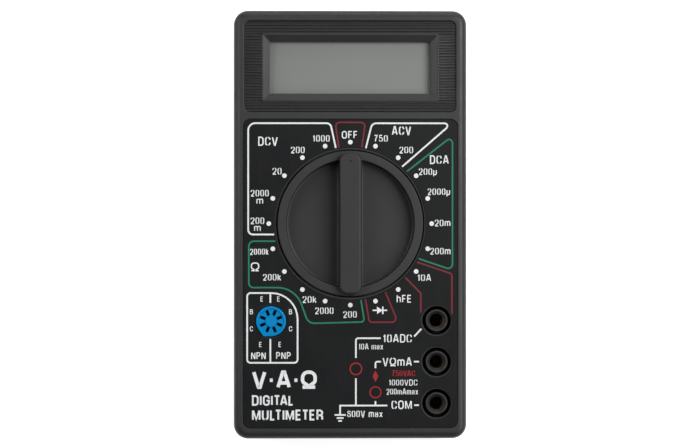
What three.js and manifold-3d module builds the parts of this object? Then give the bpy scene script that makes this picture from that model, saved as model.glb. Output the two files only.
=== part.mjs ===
// A pocket digital multimeter, lying on its back: +Z comes out of its front panel, +Y points at the
// display end, and the origin is the centre of its back face. Sizes are millimetres.
import * as THREE from "three";
import { mergeVertices } from "three/addons/utils/BufferGeometryUtils.js";
import Module from "manifold-3d";

const wasm = await Module();
wasm.setup();

// ---------------------------------------------------------------- driving dimensions

const CASE = { width: 68.5, length: 126, depth: 24, corner: 4.2, edge: 2.2, wall: 2, split: 11 };
const PANEL = { inner: 21.8, recessFloor: 23.4 };
const LABEL = { width: 63.2, length: 90.9, y: -14.45, corner: 2.2, top: 23.7, play: 0.1, rim: 0.35 };
const DISPLAY = { y: 46.2, recess: [62.2, 26.8, 1.8, 0, 46.5], frame: [52.1, 20.1], window: [47.2, 15.3] };
const DISPLAY_Z = { frameTop: 23.7, ribFloor: 23.2, windowEdge: 22.5, slopeInset: 1 };
const PANE_RIB = { outer: [54.4, 22.8, 0.8], pocket: [52.2, 20.6, 0.5], low: 20.6 };
const KNOB = { y: 0.3, hole: 21.75, radius: 21.4, ring: 18.9, wellFloor: 20, sides: 52 };
const KNOB_Z = { top: 24.6, bottom: 17.4, chamfer: 0.4, barRoot: 19 };
const BAR = { width: 6.5, length: 41.4, top: 27.6, corner: 2.4, round: 0.6, pointerY: 18.1 };
const FLANGE = { radius: 25.6, low: 18.9, high: 21.2 };
const DETENT = { steps: 20, radius: 23.5, ball: 1.25, ballZ: 20.5, bore: 1.35, floor: 15.6 };
const CUP = { radius: 2.1, low: 14.5 }; // the round housing of each detent ball and its spring
const TOOTH = { height: 0.4, width: 1, length: 2.6 };
const CONTACT_RADII = [8.8, 13, 16.6];
const BOARD = { low: 12.4, high: 14, left: -31, right: 31, top: 59.2, bottom: -60.4 };
const NOTCH = { x: 21.2, y: -33.6 }; // the board's cut-out for the battery
const JACK = { x: 25.4, ys: [-28.2, -40.4, -52.6], well: 4.25, collar: 3.25, bore: 2, wall: 0.6 };
const JACK_Z = { floor: 15.3, low: 5.5, lip: 22.4, collarTop: 23.4, shoulder: 11.2 };
const HFE = { x: -23.3, y: -28.4, radius: 4.45, top: 24.3, pins: 8, pinCircle: 2.6, key: [-2.19, -4.49] };
const BATTERY = { x: -30.8, length: 45.7, y: -47.4, width: 26.2, low: 2.2, thick: 17.5, pitch: 12.7 };
const CASE_SCREWS = [[-28.6, -19], [28.6, -19]];
const CASE_SCREW = { head: 2.4, shank: 1.2, z: [4, 5.75, 17.5] };
const CASE_POST = { boss: 3.7, radius: 2.7, pilot: 1.4, hole: 1.5 };
const BOARD_SCREWS = [[-28.4, 28], [28.4, 28], [12.5, -30.5]];
const BOARD_SCREW = { head: 1.9, shank: 0.8, z: [11, 12.35, 19] };
const BOARD_POST = { radius: 2.2, pilot: 1, hole: 1.1 };
const BACK_PLATE = { size: [46, 30, 2, 0, -2], depth: 0.4 };
const GRIPS = { count: 6, width: 40, height: 1.6, y: 36, pitch: 3.2, depth: 0.5 };
const HOOKS = { xs: [-20, 20], half: 3, thick: 1.15, reach: 15 };
const PAST = 1; // how far a cutter runs past what it cuts
const BITE = 0.2; // how far a joined piece reaches into the wall that carries it
const GAP = 0.05;

const BACK = BOARD.low - GAP; // where parts on the back of the board meet it
const FRONT = BOARD.high + GAP; // where parts on its front meet it

// ---------------------------------------------------------------- materials

const finish = (color, roughness, metalness = 0) =>
  new THREE.MeshStandardMaterial({ color, roughness, metalness });

const MATERIAL = {
  casing: finish(0x434343, 0.62),
  label: finish(0x26282a, 0.45),
  knob: finish(0x414043, 0.5),
  window: finish(0xdfe4e2, 0.08),
  lcd: finish(0x85857f, 0.3),
  glass: finish(0xc9d2cc, 0.05),
  holder: finish(0x2f2f30, 0.6),
  rubber: finish(0x2c2c30, 0.7),
  socket: finish(0x1a83bc, 0.3),
  brass: finish(0xb08d4a, 0.35, 1),
  steel: finish(0xb9bcc0, 0.3, 1),
  board: finish(0x1f6b3c, 0.45),
  epoxy: finish(0x101012, 0.4),
  film: finish(0x2d7a3d, 0.35),
  resistor: finish(0x86b5c9, 0.45),
  trimmer: finish(0x2450a0, 0.45),
  dial: finish(0xd8d8d2, 0.5),
  battery: finish(0x2a3f73, 0.35),
  red: finish(0xb02020, 0.5),
  black: finish(0x141414, 0.5),
  foil: finish(0xc4c6c8, 0.3, 1),
  shunt: finish(0xa8744c, 0.4, 1),
};

// ---------------------------------------------------------------- solids

// A closed geometry as a solid that can be joined and cut.
function solid(geometry) {
  const loose = geometry.index ? geometry.toNonIndexed() : geometry;
  const bare = new THREE.BufferGeometry().setAttribute("position", loose.getAttribute("position"));
  const merged = mergeVertices(bare, 1e-4);
  const vertProperties = merged.attributes.position.array;
  const triVerts = new Uint32Array(merged.index.array);
  return new wasm.Manifold(new wasm.Mesh({ numProp: 3, vertProperties, triVerts }));
}

function geometryOf(body) {
  const mesh = body.getMesh();
  return new THREE.BufferGeometry()
    .setAttribute("position", new THREE.BufferAttribute(mesh.vertProperties, 3))
    .setIndex(new THREE.BufferAttribute(mesh.triVerts, 1));
}

const join = (...solids) => solids.reduce((a, b) => a.add(b));

function roundedRect(width, height, radius, x = 0, y = 0) {
  const [w, h] = [width / 2 - radius, height / 2 - radius];
  const shape = new THREE.Shape();
  shape.absarc(x + w, y + h, radius, 0, Math.PI / 2);
  shape.absarc(x - w, y + h, radius, Math.PI / 2, Math.PI);
  shape.absarc(x - w, y - h, radius, Math.PI, Math.PI * 1.5);
  shape.absarc(x + w, y - h, radius, Math.PI * 1.5, Math.PI * 2);
  shape.closePath();
  return shape;
}

function polygon(points) {
  return new THREE.Shape(points.map(([x, y]) => new THREE.Vector2(x, y)));
}

// A flat shape raised from one height to another.
function slab(shape, low, high, curveSegments = 3) {
  const options = { depth: high - low, bevelEnabled: false, curveSegments };
  return solid(new THREE.ExtrudeGeometry(shape, options).translate(0, 0, low));
}

// The same with its edges rounded over, inside the stated heights.
function pillow(shape, low, high, round, curveSegments = 3, bevelSegments = 2) {
  const options = {
    depth: high - low - 2 * round,
    bevelThickness: round,
    bevelSize: round,
    bevelOffset: -round,
    bevelSegments,
    curveSegments,
  };
  return solid(new THREE.ExtrudeGeometry(shape, options).translate(0, 0, low + round));
}

function block([x0, x1], [y0, y1], [z0, z1]) {
  const box = new THREE.BoxGeometry(x1 - x0, y1 - y0, z1 - z0);
  return solid(box.translate((x0 + x1) / 2, (y0 + y1) / 2, (z0 + z1) / 2));
}

function post(radius, low, high, x = 0, y = 0, segments = 20) {
  const cylinder = new THREE.CylinderGeometry(radius, radius, high - low, segments);
  return solid(cylinder.rotateX(Math.PI / 2).translate(x, y, (low + high) / 2));
}

// A cylinder lying along X.
function rod(radius, x0, x1, y, z, segments = 12) {
  const cylinder = new THREE.CylinderGeometry(radius, radius, x1 - x0, segments);
  return solid(cylinder.rotateZ(Math.PI / 2).translate((x0 + x1) / 2, y, z));
}

function tube(outer, inner, low, high, x = 0, y = 0, segments = 28) {
  return post(outer, low, high, x, y, segments).subtract(post(inner, low - 1, high + 1, x, y, segments));
}

// A round wire along a smooth path through the points.
function wire(points, radius, steps, sides = 8) {
  const path = new THREE.CatmullRomCurve3(points.map((p) => new THREE.Vector3(...p)));
  const section = new THREE.Shape();
  section.absarc(0, 0, radius, 0, Math.PI * 2);
  const options = { extrudePath: path, steps, curveSegments: sides };
  return solid(new THREE.ExtrudeGeometry(section, options));
}

// A tapered pit with a rectangular floor and a larger rectangular mouth.
function taperedPit([w0, h0], low, [w1, h1], high, y) {
  const corner = (w, h, z) =>
    [[-w, -h], [w, -h], [w, h], [-w, h]].map(([a, b]) => [a / 2, y + b / 2, z]);
  const points = [...corner(w0, h0, low), ...corner(w1, h1, high)].flat();
  const faces = [0, 2, 1, 0, 3, 2, 4, 5, 6, 4, 6, 7];
  for (let i = 0; i < 4; i++) {
    const j = (i + 1) % 4;
    faces.push(i, j, j + 4, i, j + 4, i + 4);
  }
  const geometry = new THREE.BufferGeometry();
  geometry.setAttribute("position", new THREE.Float32BufferAttribute(points, 3));
  return solid(geometry.setIndex(faces));
}

// A body of rotation about the vertical line at x, y, from [radius, z] points that start and end on it.
function turned(profile, x = 0, y = 0, segments = 24) {
  const points = profile.map(([r, z]) => new THREE.Vector2(r, z));
  return solid(new THREE.LatheGeometry(points, segments).rotateX(Math.PI / 2).translate(x, y, 0));
}

const inset = (by) =>
  roundedRect(CASE.width - 2 * by, CASE.length - 2 * by, Math.max(CASE.corner - by, 0.5));

// ---------------------------------------------------------------- casing

const OUTSIDE = CASE.depth + PAST;
const LAP = { inset: 1, height: 1.9, play: 0.15, seam: 0.15 }; // the tongue and groove round the seam

const caseHull = () => pillow(inset(0), 0, CASE.depth, CASE.edge, 3, 3);
const caseHollow = () => slab(inset(CASE.wall), CASE.wall, PANEL.inner);
const between = (low, high) =>
  block([-CASE.width, CASE.width], [-CASE.length, CASE.length], [low, high]);

function displayCuts() {
  const recess = roundedRect(...DISPLAY.recess);
  const frame = roundedRect(...DISPLAY.frame, 0.6, 0, DISPLAY.y);
  const { frameTop, ribFloor, windowEdge, slopeInset } = DISPLAY_Z;
  const ribs = slab(recess, ribFloor, OUTSIDE).subtract(slab(frame, ribFloor - PAST, OUTSIDE + PAST));
  const mouth = DISPLAY.frame.map((side) => side - slopeInset);
  const slope = taperedPit(DISPLAY.window, windowEdge, mouth, frameTop + 0.01, DISPLAY.y);
  const opening = roundedRect(...DISPLAY.window, 0.1, 0, DISPLAY.y);
  const window = slab(opening, PANEL.inner - PAST, windowEdge + BITE, 1);
  return join(slab(recess, frameTop, OUTSIDE), ribs, slope, window);
}

// The ring of small teeth under the panel that the sprung balls click over, each midway between two
// stations.
function detentTeeth() {
  const [tip, base, half] = [PANEL.inner - TOOTH.height, PANEL.inner + 0.1, TOOTH.width / 2];
  const right = [[0, tip], [half, PANEL.inner], [half, base]];
  const profile = polygon([...right, [-half, base], [-half, PANEL.inner]]);
  const teeth = [];
  for (let i = 0; i < DETENT.steps; i++) {
    const tooth = new THREE.ExtrudeGeometry(profile, { depth: TOOTH.length, bevelEnabled: false });
    tooth.rotateX(Math.PI / 2).translate(0, DETENT.radius + TOOTH.length / 2, 0);
    tooth.rotateZ(((i + 0.5) / DETENT.steps) * Math.PI * 2);
    teeth.push(solid(tooth.translate(0, KNOB.y, 0)));
  }
  return join(...teeth);
}

// The well round each input socket: a blind ring for the plug's shroud and a collar that guides its pin.
function jackWell(y) {
  const foot = FRONT + 0.25;
  const shoulder = JACK.bore + JACK.wall + 0.1;
  return post(JACK.well + 1.1, foot, PANEL.inner + 0.5, JACK.x, y, 24)
    .subtract(post(JACK.well, JACK_Z.floor, OUTSIDE, JACK.x, y, 24))
    .add(post(JACK.collar, foot, JACK_Z.collarTop, JACK.x, y, 24))
    .subtract(post(shoulder, FRONT, JACK_Z.lip, JACK.x, y, 16))
    .subtract(post(JACK.bore + 0.1, JACK_Z.lip - PAST, OUTSIDE, JACK.x, y, 16));
}

const posts = (places, ...size) => places.map(([x, y]) => post(...size.slice(0, 3), x, y, size[3]));

function frontCase() {
  const inside = PANEL.inner + BITE;
  const pilotTop = 20;
  const fastenings = [
    ...posts(BOARD_SCREWS, BOARD_POST.radius, FRONT, inside, 12),
    ...posts(CASE_SCREWS, CASE_POST.radius, CASE.split + 0.3, inside, 12),
  ];
  const pilots = [
    ...posts(BOARD_SCREWS, BOARD_POST.pilot, FRONT - PAST, pilotTop, 8),
    ...posts(CASE_SCREWS, CASE_POST.pilot, CASE.split - PAST, pilotTop, 8),
  ];
  const paneRib = slab(roundedRect(...PANE_RIB.outer, 0, DISPLAY.y), PANE_RIB.low, inside, 2)
    .subtract(slab(roundedRect(...PANE_RIB.pocket, 0, DISPLAY.y), PANE_RIB.low - PAST, PANEL.inner, 2));
  const batteryRibs = [-41, -54].map((y) => block([-28, 14], [y - 0.6, y + 0.6], [20, inside]));
  const labelRecess = roundedRect(LABEL.width, LABEL.length, LABEL.corner, 0, LABEL.y);
  const places = JACK.ys.map((y) => [JACK.x, y]);
  return caseHull()
    .intersect(between(CASE.split + LAP.seam, OUTSIDE))
    .subtract(caseHollow())
    .subtract(slab(inset(LAP.inset), CASE.split, CASE.split + LAP.height))
    .subtract(slab(labelRecess, PANEL.recessFloor, OUTSIDE))
    .add(join(...fastenings, paneRib, ...batteryRibs))
    .subtract(displayCuts())
    .subtract(post(KNOB.hole, PANEL.inner - PAST, OUTSIDE, 0, KNOB.y, KNOB.sides))
    .subtract(join(...posts(places, JACK.well, PANEL.inner - PAST, OUTSIDE, 24)))
    .subtract(socketOutline(1.06, PANEL.inner - PAST, OUTSIDE))
    .add(detentTeeth())
    .add(join(...JACK.ys.map(jackWell)))
    .subtract(join(...pilots));
}

// A hook on the rear case's top wall that reaches up behind the front case.
function hook(x) {
  const wall = CASE.length / 2 - CASE.wall;
  const sides = [x - HOOKS.half, x + HOOKS.half];
  const inner = wall - LAP.play - HOOKS.thick;
  const stem = block(sides, [inner, wall + 0.05], [CASE.wall - 0.1, CASE.split - 0.6]);
  return stem.add(block(sides, [inner, wall - LAP.play], [CASE.wall + 3, HOOKS.reach]));
}

function rearCase() {
  const tongue = slab(inset(LAP.inset + LAP.play), CASE.split - 0.5, CASE.split + LAP.height - BITE)
    .subtract(slab(inset(CASE.wall), CASE.split - PAST, CASE.split + LAP.height + PAST));
  const bosses = posts(CASE_SCREWS, CASE_POST.boss, CASE.wall - 0.1, CASE.split - 0.3, 16);
  const sinks = posts(CASE_SCREWS, CASE_POST.radius, -PAST, CASE_SCREW.z[1] + GAP, 16);
  const holes = posts(CASE_SCREWS, CASE_POST.hole, CASE_SCREW.z[1] - PAST, CASE.split, 12);
  const sideWall = -CASE.width / 2 + CASE.wall - 0.1;
  const batteryWall = block([sideWall, 15.5], [-34.15, -33], [CASE.wall - 0.1, CASE.split - 1]);
  const plate = slab(roundedRect(...BACK_PLATE.size), -PAST, BACK_PLATE.depth, 2);
  const grips = [];
  for (let i = 0; i < GRIPS.count; i++) {
    const bar = roundedRect(GRIPS.width, GRIPS.height, 0.75, 0, GRIPS.y + i * GRIPS.pitch);
    grips.push(slab(bar, -PAST, GRIPS.depth, 1));
  }
  return caseHull()
    .intersect(between(-PAST, CASE.split))
    .subtract(caseHollow())
    .add(join(tongue, ...bosses, ...HOOKS.xs.map(hook), batteryWall))
    .subtract(join(plate, ...grips, ...sinks, ...holes));
}

// The printed panel that lies in the front case's recess.
function frontLabel() {
  const { width, length, corner, play, y } = LABEL;
  const sheet = roundedRect(width - 2 * play, length - 2 * play, corner - play, 0, y);
  const through = [PANEL.recessFloor - PAST, OUTSIDE];
  const places = JACK.ys.map((jackY) => [JACK.x, jackY]);
  return slab(sheet, PANEL.recessFloor, LABEL.top)
    .subtract(post(KNOB.hole + 0.55, ...through, 0, KNOB.y, KNOB.sides))
    .subtract(join(...posts(places, JACK.well + LABEL.rim, ...through, 24)))
    .subtract(socketOutline(1.12, ...through));
}

// A screw with a cross in its head, which points down.
function screw(x, y, { head, shank, z: [headLow, headHigh, tip] }) {
  const [crossDepth, crossHalf, crossReach] = [0.9, 0.3, head * 0.6];
  const profile = [
    [0, headLow],
    [head * 0.7, headLow],
    [head, headLow + 0.7],
    [head, headHigh],
    [shank, headHigh],
    [shank, tip - 1.2],
    [0, tip],
  ];
  const depth = [headLow - PAST, headLow + crossDepth];
  const along = [-crossReach, crossReach];
  const across = [-crossHalf, crossHalf];
  const shifted = (span, by) => span.map((value) => value + by);
  return turned(profile, x, y, 12)
    .subtract(block(shifted(across, x), shifted(along, y), depth))
    .subtract(block(shifted(along, x), shifted(across, y), depth));
}

// ---------------------------------------------------------------- display

const LCD = { halfWidth: 25.3, top: 56.6, bottom: 34.8, ledge: 38.2, trim: 0.3 };
const LCD_Z = { front: [19.25, 20.3], rear: [18.15, 19.2], film: [20.35, 20.6], mirror: [17.9, 18.1] };
const ZEBRA = { bottom: 35.2, top: 37.6, halfWidth: 24 };
const HOLDER = { size: [56, 25.4, 1, 0, 45.7], top: 20.5, ledge: 17.85 };

const displayWindow = () =>
  slab(roundedRect(51.8, 20.2, 0.8, 0, DISPLAY.y), 20.75, PANEL.inner - GAP, 3);

const pane = (bottom, top, [low, high], halfWidth = LCD.halfWidth) =>
  block([-halfWidth, halfWidth], [bottom, top], [low, high]);

const filmPane = (heights) =>
  pane(LCD.ledge + BITE, LCD.top - LCD.trim, heights, LCD.halfWidth - LCD.trim);

function lcdHolder() {
  const outer = slab(roundedRect(...HOLDER.size), FRONT, HOLDER.top, 3);
  const play = 0.2;
  const pocket = pane(LCD.bottom - play, LCD.top + play, [HOLDER.ledge, 22], LCD.halfWidth + play);
  const opening = pane(40, 55, [0, 18], 23);
  const stripSlot = pane(ZEBRA.bottom - play, ZEBRA.top + play, [0, 18], ZEBRA.halfWidth + 0.3);
  return outer.subtract(join(pocket, opening, stripSlot));
}

// ---------------------------------------------------------------- range selector

// The knob: a flanged disc with a raised rim, two finger wells and the grip bar between them.
function selectorKnob() {
  const { radius, ring, wellFloor, sides } = KNOB;
  const { top, bottom, chamfer, barRoot } = KNOB_Z;
  const profile = [
    [0, bottom],
    [radius, bottom],
    [radius, FLANGE.low],
    [FLANGE.radius, FLANGE.low],
    [FLANGE.radius, FLANGE.high],
    [radius, FLANGE.high],
    [radius, top - chamfer],
    [radius - chamfer, top],
    [ring, top],
    [ring, wellFloor],
    [0, wellFloor],
  ];
  const bar = pillow(roundedRect(BAR.width, BAR.length, BAR.corner), barRoot, BAR.top, BAR.round, 3, 2);
  const spigot = post(1.9, BOARD.low - 0.6, bottom + 0.5, 0, 0, 16);
  const ends = [[-DETENT.radius, 0], [DETENT.radius, 0]];
  const cups = posts(ends, CUP.radius, CUP.low, FLANGE.low + 0.5, 16);
  const bores = posts(ends, DETENT.bore, DETENT.floor, FLANGE.high + PAST, 16);
  const pointer = post(0.5, BAR.top - 0.3, BAR.top + PAST, 0, BAR.pointerY, 8);
  return turned(profile, 0, 0, sides)
    .add(bar)
    .add(join(spigot, ...cups))
    .subtract(join(pointer, ...bores));
}

// A bent strip of spring sheet: its middle is held by the knob and both tips slide on the board's rings.
function contactSpring() {
  const line = [[-4.1, -2.7], [-3.4, -3.25], [-1, -0.35], [1, -0.35], [3.4, -3.25], [4.1, -2.7]];
  const raised = line.map(([x, z]) => [x, z + 0.3]).reverse();
  const options = { depth: 1.6, bevelEnabled: false };
  const strip = new THREE.ExtrudeGeometry(polygon([...line, ...raised]), options);
  return solid(strip.rotateX(Math.PI / 2).translate(0, 0.8, 0));
}

function detentSpring() {
  const length = DETENT.ballZ - DETENT.ball - DETENT.floor - 4 * GAP;
  const [turns, radius, steps] = [3.5, 0.95, 28];
  const points = [];
  for (let i = 0; i <= steps; i++) {
    const angle = (i / steps) * turns * Math.PI * 2;
    const rise = 0.17 + (i / steps) * (length - 0.34);
    points.push([radius * Math.cos(angle), radius * Math.sin(angle), DETENT.floor + GAP + rise]);
  }
  return wire(points, 0.16, 34, 2);
}

function detentBall() {
  const ball = new THREE.SphereGeometry(DETENT.ball, 12, 8);
  return solid(ball.rotateX(Math.PI / 2).translate(0, 0, DETENT.ballZ));
}

// ---------------------------------------------------------------- board and sockets

function circuitBoard() {
  const outline = polygon([
    [BOARD.left, NOTCH.y],
    [NOTCH.x, NOTCH.y],
    [NOTCH.x, BOARD.bottom],
    [BOARD.right, BOARD.bottom],
    [BOARD.right, BOARD.top],
    [BOARD.left, BOARD.top],
  ]);
  const through = [0, CASE.depth];
  const jacks = JACK.ys.map((y) => [JACK.x, y]);
  const holes = [
    post(2.1, ...through, 0, KNOB.y, 16),
    ...posts(jacks, JACK.bore + JACK.wall + 0.15, ...through, 14),
    ...posts(BOARD_SCREWS, BOARD_POST.hole, ...through, 10),
    ...posts(CASE_SCREWS, CASE_POST.radius + 0.3, ...through, 14),
  ];
  return slab(outline, BOARD.low, BOARD.high).subtract(join(...holes));
}

// A tubular input socket with the shoulder that is soldered under the board.
function jackTube(y) {
  return tube(JACK.bore + JACK.wall, JACK.bore, JACK_Z.low, JACK_Z.lip - GAP, JACK.x, y, 16)
    .add(tube(JACK.collar + 0.15, JACK.bore + 0.3, JACK_Z.shoulder, BACK, JACK.x, y, 16));
}

// The transistor socket's outline, enlarged by a factor: a disc drawn out to a keying corner at its
// lower left.
function socketOutline(factor, low, high) {
  const radius = HFE.radius * factor;
  const [cornerX, cornerY] = HFE.key.map((value) => value * factor);
  const outline = new THREE.Shape();
  const { degToRad } = THREE.MathUtils;
  const [cornerStart, cornerEnd] = [218, 270];
  outline.absarc(HFE.x, HFE.y, radius, degToRad(cornerEnd - 360), degToRad(cornerStart));
  outline.lineTo(HFE.x + cornerX, HFE.y + cornerY);
  outline.closePath();
  return slab(outline, low, high, 11);
}

function transistorSocket() {
  const slots = [];
  for (let i = 0; i < HFE.pins; i++) {
    const angle = ((i + 0.5) / HFE.pins) * Math.PI * 2;
    const slot = new THREE.BoxGeometry(1.5, 0.7, 8).translate(HFE.pinCircle, 0, HFE.top - 3);
    slots.push(solid(slot.rotateZ(angle).translate(HFE.x, HFE.y, 0)));
  }
  return socketOutline(1, FRONT, HFE.top).subtract(join(...slots));
}

const chipDome = () =>
  turned([[0, BACK - 1.7], [4, BACK - 1.5], [7, BACK - 0.8], [8.2, BACK], [0, BACK]], 0, 46, 20);

// A thick resistance wire that bridges the high-current and common sockets.
function shuntWire() {
  const [x, radius] = [30, 0.7];
  const route = [
    [x, -33, BACK],
    [x, -33.1, 8.6],
    [x, -35.5, 5.6],
    [x, -42, 5],
    [x, -45.3, 5.6],
    [x, -47.7, 8.6],
    [x, -47.8, BACK],
  ];
  return wire(route, radius, 16, 4);
}

// ---------------------------------------------------------------- fuse

const FUSE = { x: -3, y: -29.2, z: 8.2, length: 20, cap: 4.6, radius: 2.6 };
const fuseEnd = (side) => FUSE.x + (side * FUSE.length) / 2;

function fuseCap(side) {
  const ends = [fuseEnd(side), fuseEnd(side) - side * FUSE.cap].sort((a, b) => a - b);
  const inner = fuseEnd(side) - side * 0.5;
  const pocket = [inner, inner - side * FUSE.cap].sort((a, b) => a - b);
  return rod(FUSE.radius, ...ends, FUSE.y, FUSE.z, 16)
    .subtract(rod(FUSE.radius - 0.35, ...pocket, FUSE.y, FUSE.z, 16));
}

function fuseTube() {
  const half = FUSE.length / 2 - 0.6;
  const ends = [FUSE.x - half, FUSE.x + half];
  return rod(FUSE.radius - 0.45, ...ends, FUSE.y, FUSE.z, 16)
    .subtract(rod(FUSE.radius - 1, ends[0] - 1, ends[1] + 1, FUSE.y, FUSE.z, 16));
}

const fuseElement = () => rod(0.2, fuseEnd(-1) + 0.8, fuseEnd(1) - 0.8, FUSE.y, FUSE.z, 6);

// A spring clip that grips one end of the fuse and opens towards the back of the meter.
function fuseClip(side) {
  const middle = fuseEnd(side) - side * 2.2;
  const span = [middle - 1.7, middle + 1.7];
  const ring = rod(FUSE.radius + 0.5, ...span, FUSE.y, FUSE.z, 16)
    .subtract(rod(FUSE.radius + 0.1, span[0] - 1, span[1] + 1, FUSE.y, FUSE.z, 16))
    .subtract(block([span[0] - 1, span[1] + 1], [FUSE.y - 1.9, FUSE.y + 1.9], [0, FUSE.z]));
  return ring.add(block(span, [FUSE.y - 1.2, FUSE.y + 1.2], [FUSE.z + FUSE.radius + 0.25, BACK]));
}

// ---------------------------------------------------------------- small components

const lead = (x, y, low) => block([x - 0.25, x + 0.25], [y - 0.25, y + 0.25], [low, BACK]);

// An axial part along X, its leads bent up to the board.
function axialPart(x, y, radius, length) {
  const [half, reach, z] = [length / 2, length / 2 + 1.6, BACK - radius - 0.6];
  const profile = [
    [0, -half],
    [radius * 0.8, -half],
    [radius, -half + 0.3],
    [radius, half - 0.3],
    [radius * 0.8, half],
    [0, half],
  ];
  const points = profile.map(([r, along]) => new THREE.Vector2(r, along));
  const body = new THREE.LatheGeometry(points, 10).rotateZ(-Math.PI / 2).translate(x, y, z);
  const line = block([x - reach, x + reach], [y - 0.25, y + 0.25], [z - 0.25, z + 0.25]);
  return join(solid(body), line, lead(x - reach, y, z - 0.25), lead(x + reach, y, z - 0.25));
}

function filmCapacitor(x, y) {
  const body = pillow(roundedRect(8, 3.4, 1.5, x, y), BACK - 8.2, BACK - 0.8, 0.5, 2, 1);
  return join(body, lead(x - 2.5, y, BACK - 2), lead(x + 2.5, y, BACK - 2));
}

function transistor(x, y) {
  const outline = new THREE.Shape();
  outline.absarc(x, y, 2.4, Math.PI * 0.2, Math.PI * 1.8);
  outline.closePath();
  const leads = [-1.3, 0, 1.3].map((step) => lead(x, y + step, BACK - 3));
  return join(slab(outline, BACK - 6.6, BACK - 2, 7), ...leads);
}

const TRIMMER = { x: 16, y: 34, size: 6.6, radius: 2.1 };

function trimmerBase() {
  const { x, y, size, radius } = TRIMMER;
  return slab(roundedRect(size, size, 0.5, x, y), BACK - 3.8, BACK, 2)
    .subtract(post(radius + 0.2, BACK - 5, BACK - 2, x, y, 18));
}

function trimmerRotor() {
  const { x, y, radius } = TRIMMER;
  const [low, high] = [BACK - 4.1, BACK - 2.2];
  return post(radius, low, high, x, y, 18)
    .subtract(block([x - 0.3, x + 0.3], [y - 1.6, y + 1.6], [low - 1, low + 0.8]));
}

// ---------------------------------------------------------------- battery

const POLE_X = BATTERY.x + BATTERY.length;
const BATTERY_Z = BATTERY.low + BATTERY.thick / 2;
const POLES = [BATTERY.y - BATTERY.pitch / 2, BATTERY.y + BATTERY.pitch / 2];
const SNAP = { half: 12.4, rise: 5.6, leadX: POLE_X + 3.8, leadZ: [10, 7] };

function battery() {
  const outline = roundedRect(BATTERY.width, BATTERY.thick, 2, BATTERY.y, BATTERY_Z);
  const options = { depth: BATTERY.length, bevelEnabled: false, curveSegments: 3 };
  const can = new THREE.ExtrudeGeometry(outline, options);
  can.rotateX(Math.PI / 2).rotateZ(Math.PI / 2).translate(BATTERY.x, 0, 0);
  const stud = rod(2.8, POLE_X - 0.5, POLE_X + 2.6, POLES[0], BATTERY_Z, 14);
  const crown = rod(4, POLE_X - 0.5, POLE_X + 2.6, POLES[1], BATTERY_Z, 6)
    .subtract(rod(2.7, POLE_X, POLE_X + 4, POLES[1], BATTERY_Z, 14));
  return join(solid(can), stud, crown);
}

function batterySnap() {
  const back = [POLE_X + 2.8, POLE_X + 4.8];
  const span = [BATTERY.y - SNAP.half, BATTERY.y + SNAP.half];
  const plate = block(back, span, [BATTERY_Z - SNAP.rise, BATTERY_Z + SNAP.rise]);
  const cup = rod(3.8, POLE_X + 0.4, back[0] + 0.3, POLES[0], BATTERY_Z, 14)
    .subtract(rod(3, POLE_X, back[0], POLES[0], BATTERY_Z, 14));
  const plug = rod(2.4, POLE_X + 0.4, back[0] + 0.3, POLES[1], BATTERY_Z, 14);
  const edge = BATTERY.y + SNAP.half;
  const sleeves = SNAP.leadZ.map((z) => {
    const sleeve = new THREE.CylinderGeometry(0.7, 0.7, 3, 10);
    return solid(sleeve.translate(SNAP.leadX, edge, z));
  });
  return join(plate, cup, plug).subtract(join(...sleeves));
}

// A supply lead from its sleeve in the snap's upper edge, looped under the board to its pad.
function supplyLead(z, padX, padY) {
  const edge = BATTERY.y + SNAP.half;
  const [x, low] = [SNAP.leadX, z - 1.5];
  return wire(
    [
      [x, edge - 1.3, z],
      [x, edge + 0.6, z],
      [x - 0.4, edge + 4, low],
      [(x + padX) / 2, (edge + padY) / 2 + 3.5, low - 0.5],
      [padX + 0.6, padY + 0.8, low + 1],
      [padX, padY, BACK - 1.6],
      [padX, padY, BACK],
    ],
    0.5,
    18,
    3,
  );
}

// ---------------------------------------------------------------- assembly

const meter = new THREE.Group();
const selector = new THREE.Group();
selector.position.set(0, KNOB.y, 0);
meter.add(selector);

function place(name, body, material, parent = meter) {
  const mesh = new THREE.Mesh(geometryOf(body), material);
  mesh.name = name;
  parent.add(mesh);
  return mesh;
}

place("front_case", frontCase(), MATERIAL.casing);
place("rear_case", rearCase(), MATERIAL.casing);
place("front_label", frontLabel(), MATERIAL.label);
CASE_SCREWS.forEach(([x, y], i) => {
  place(`case_screw_${i + 1}`, screw(x, y, CASE_SCREW), MATERIAL.steel);
});

place("display_window", displayWindow(), MATERIAL.window);
place("lcd_polarizer", filmPane(LCD_Z.film), MATERIAL.lcd);
place("lcd_front_glass", pane(LCD.bottom, LCD.top, LCD_Z.front), MATERIAL.glass);
place("lcd_rear_glass", pane(LCD.ledge, LCD.top, LCD_Z.rear), MATERIAL.glass);
place("lcd_reflector", filmPane(LCD_Z.mirror), MATERIAL.foil);
place("lcd_holder", lcdHolder(), MATERIAL.holder);
const zebra = pane(ZEBRA.bottom, ZEBRA.top, [FRONT, LCD_Z.front[0] - GAP], ZEBRA.halfWidth);
place("zebra_strip", zebra, MATERIAL.rubber);

place("selector_knob", selectorKnob(), MATERIAL.knob, selector);
[...CONTACT_RADII, ...CONTACT_RADII].forEach((radius, i) => {
  const angle = THREE.MathUtils.degToRad(30 + 60 * i);
  const contact = place(`contact_spring_${i + 1}`, contactSpring(), MATERIAL.brass, selector);
  contact.position.set(radius * Math.cos(angle), radius * Math.sin(angle), KNOB_Z.bottom);
  contact.rotation.z = angle;
});
[-1, 1].forEach((side, i) => {
  const ball = place(`detent_ball_${i + 1}`, detentBall(), MATERIAL.steel, selector);
  const spring = place(`detent_spring_${i + 1}`, detentSpring(), MATERIAL.steel, selector);
  ball.position.x = side * DETENT.radius;
  spring.position.x = side * DETENT.radius;
});

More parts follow.
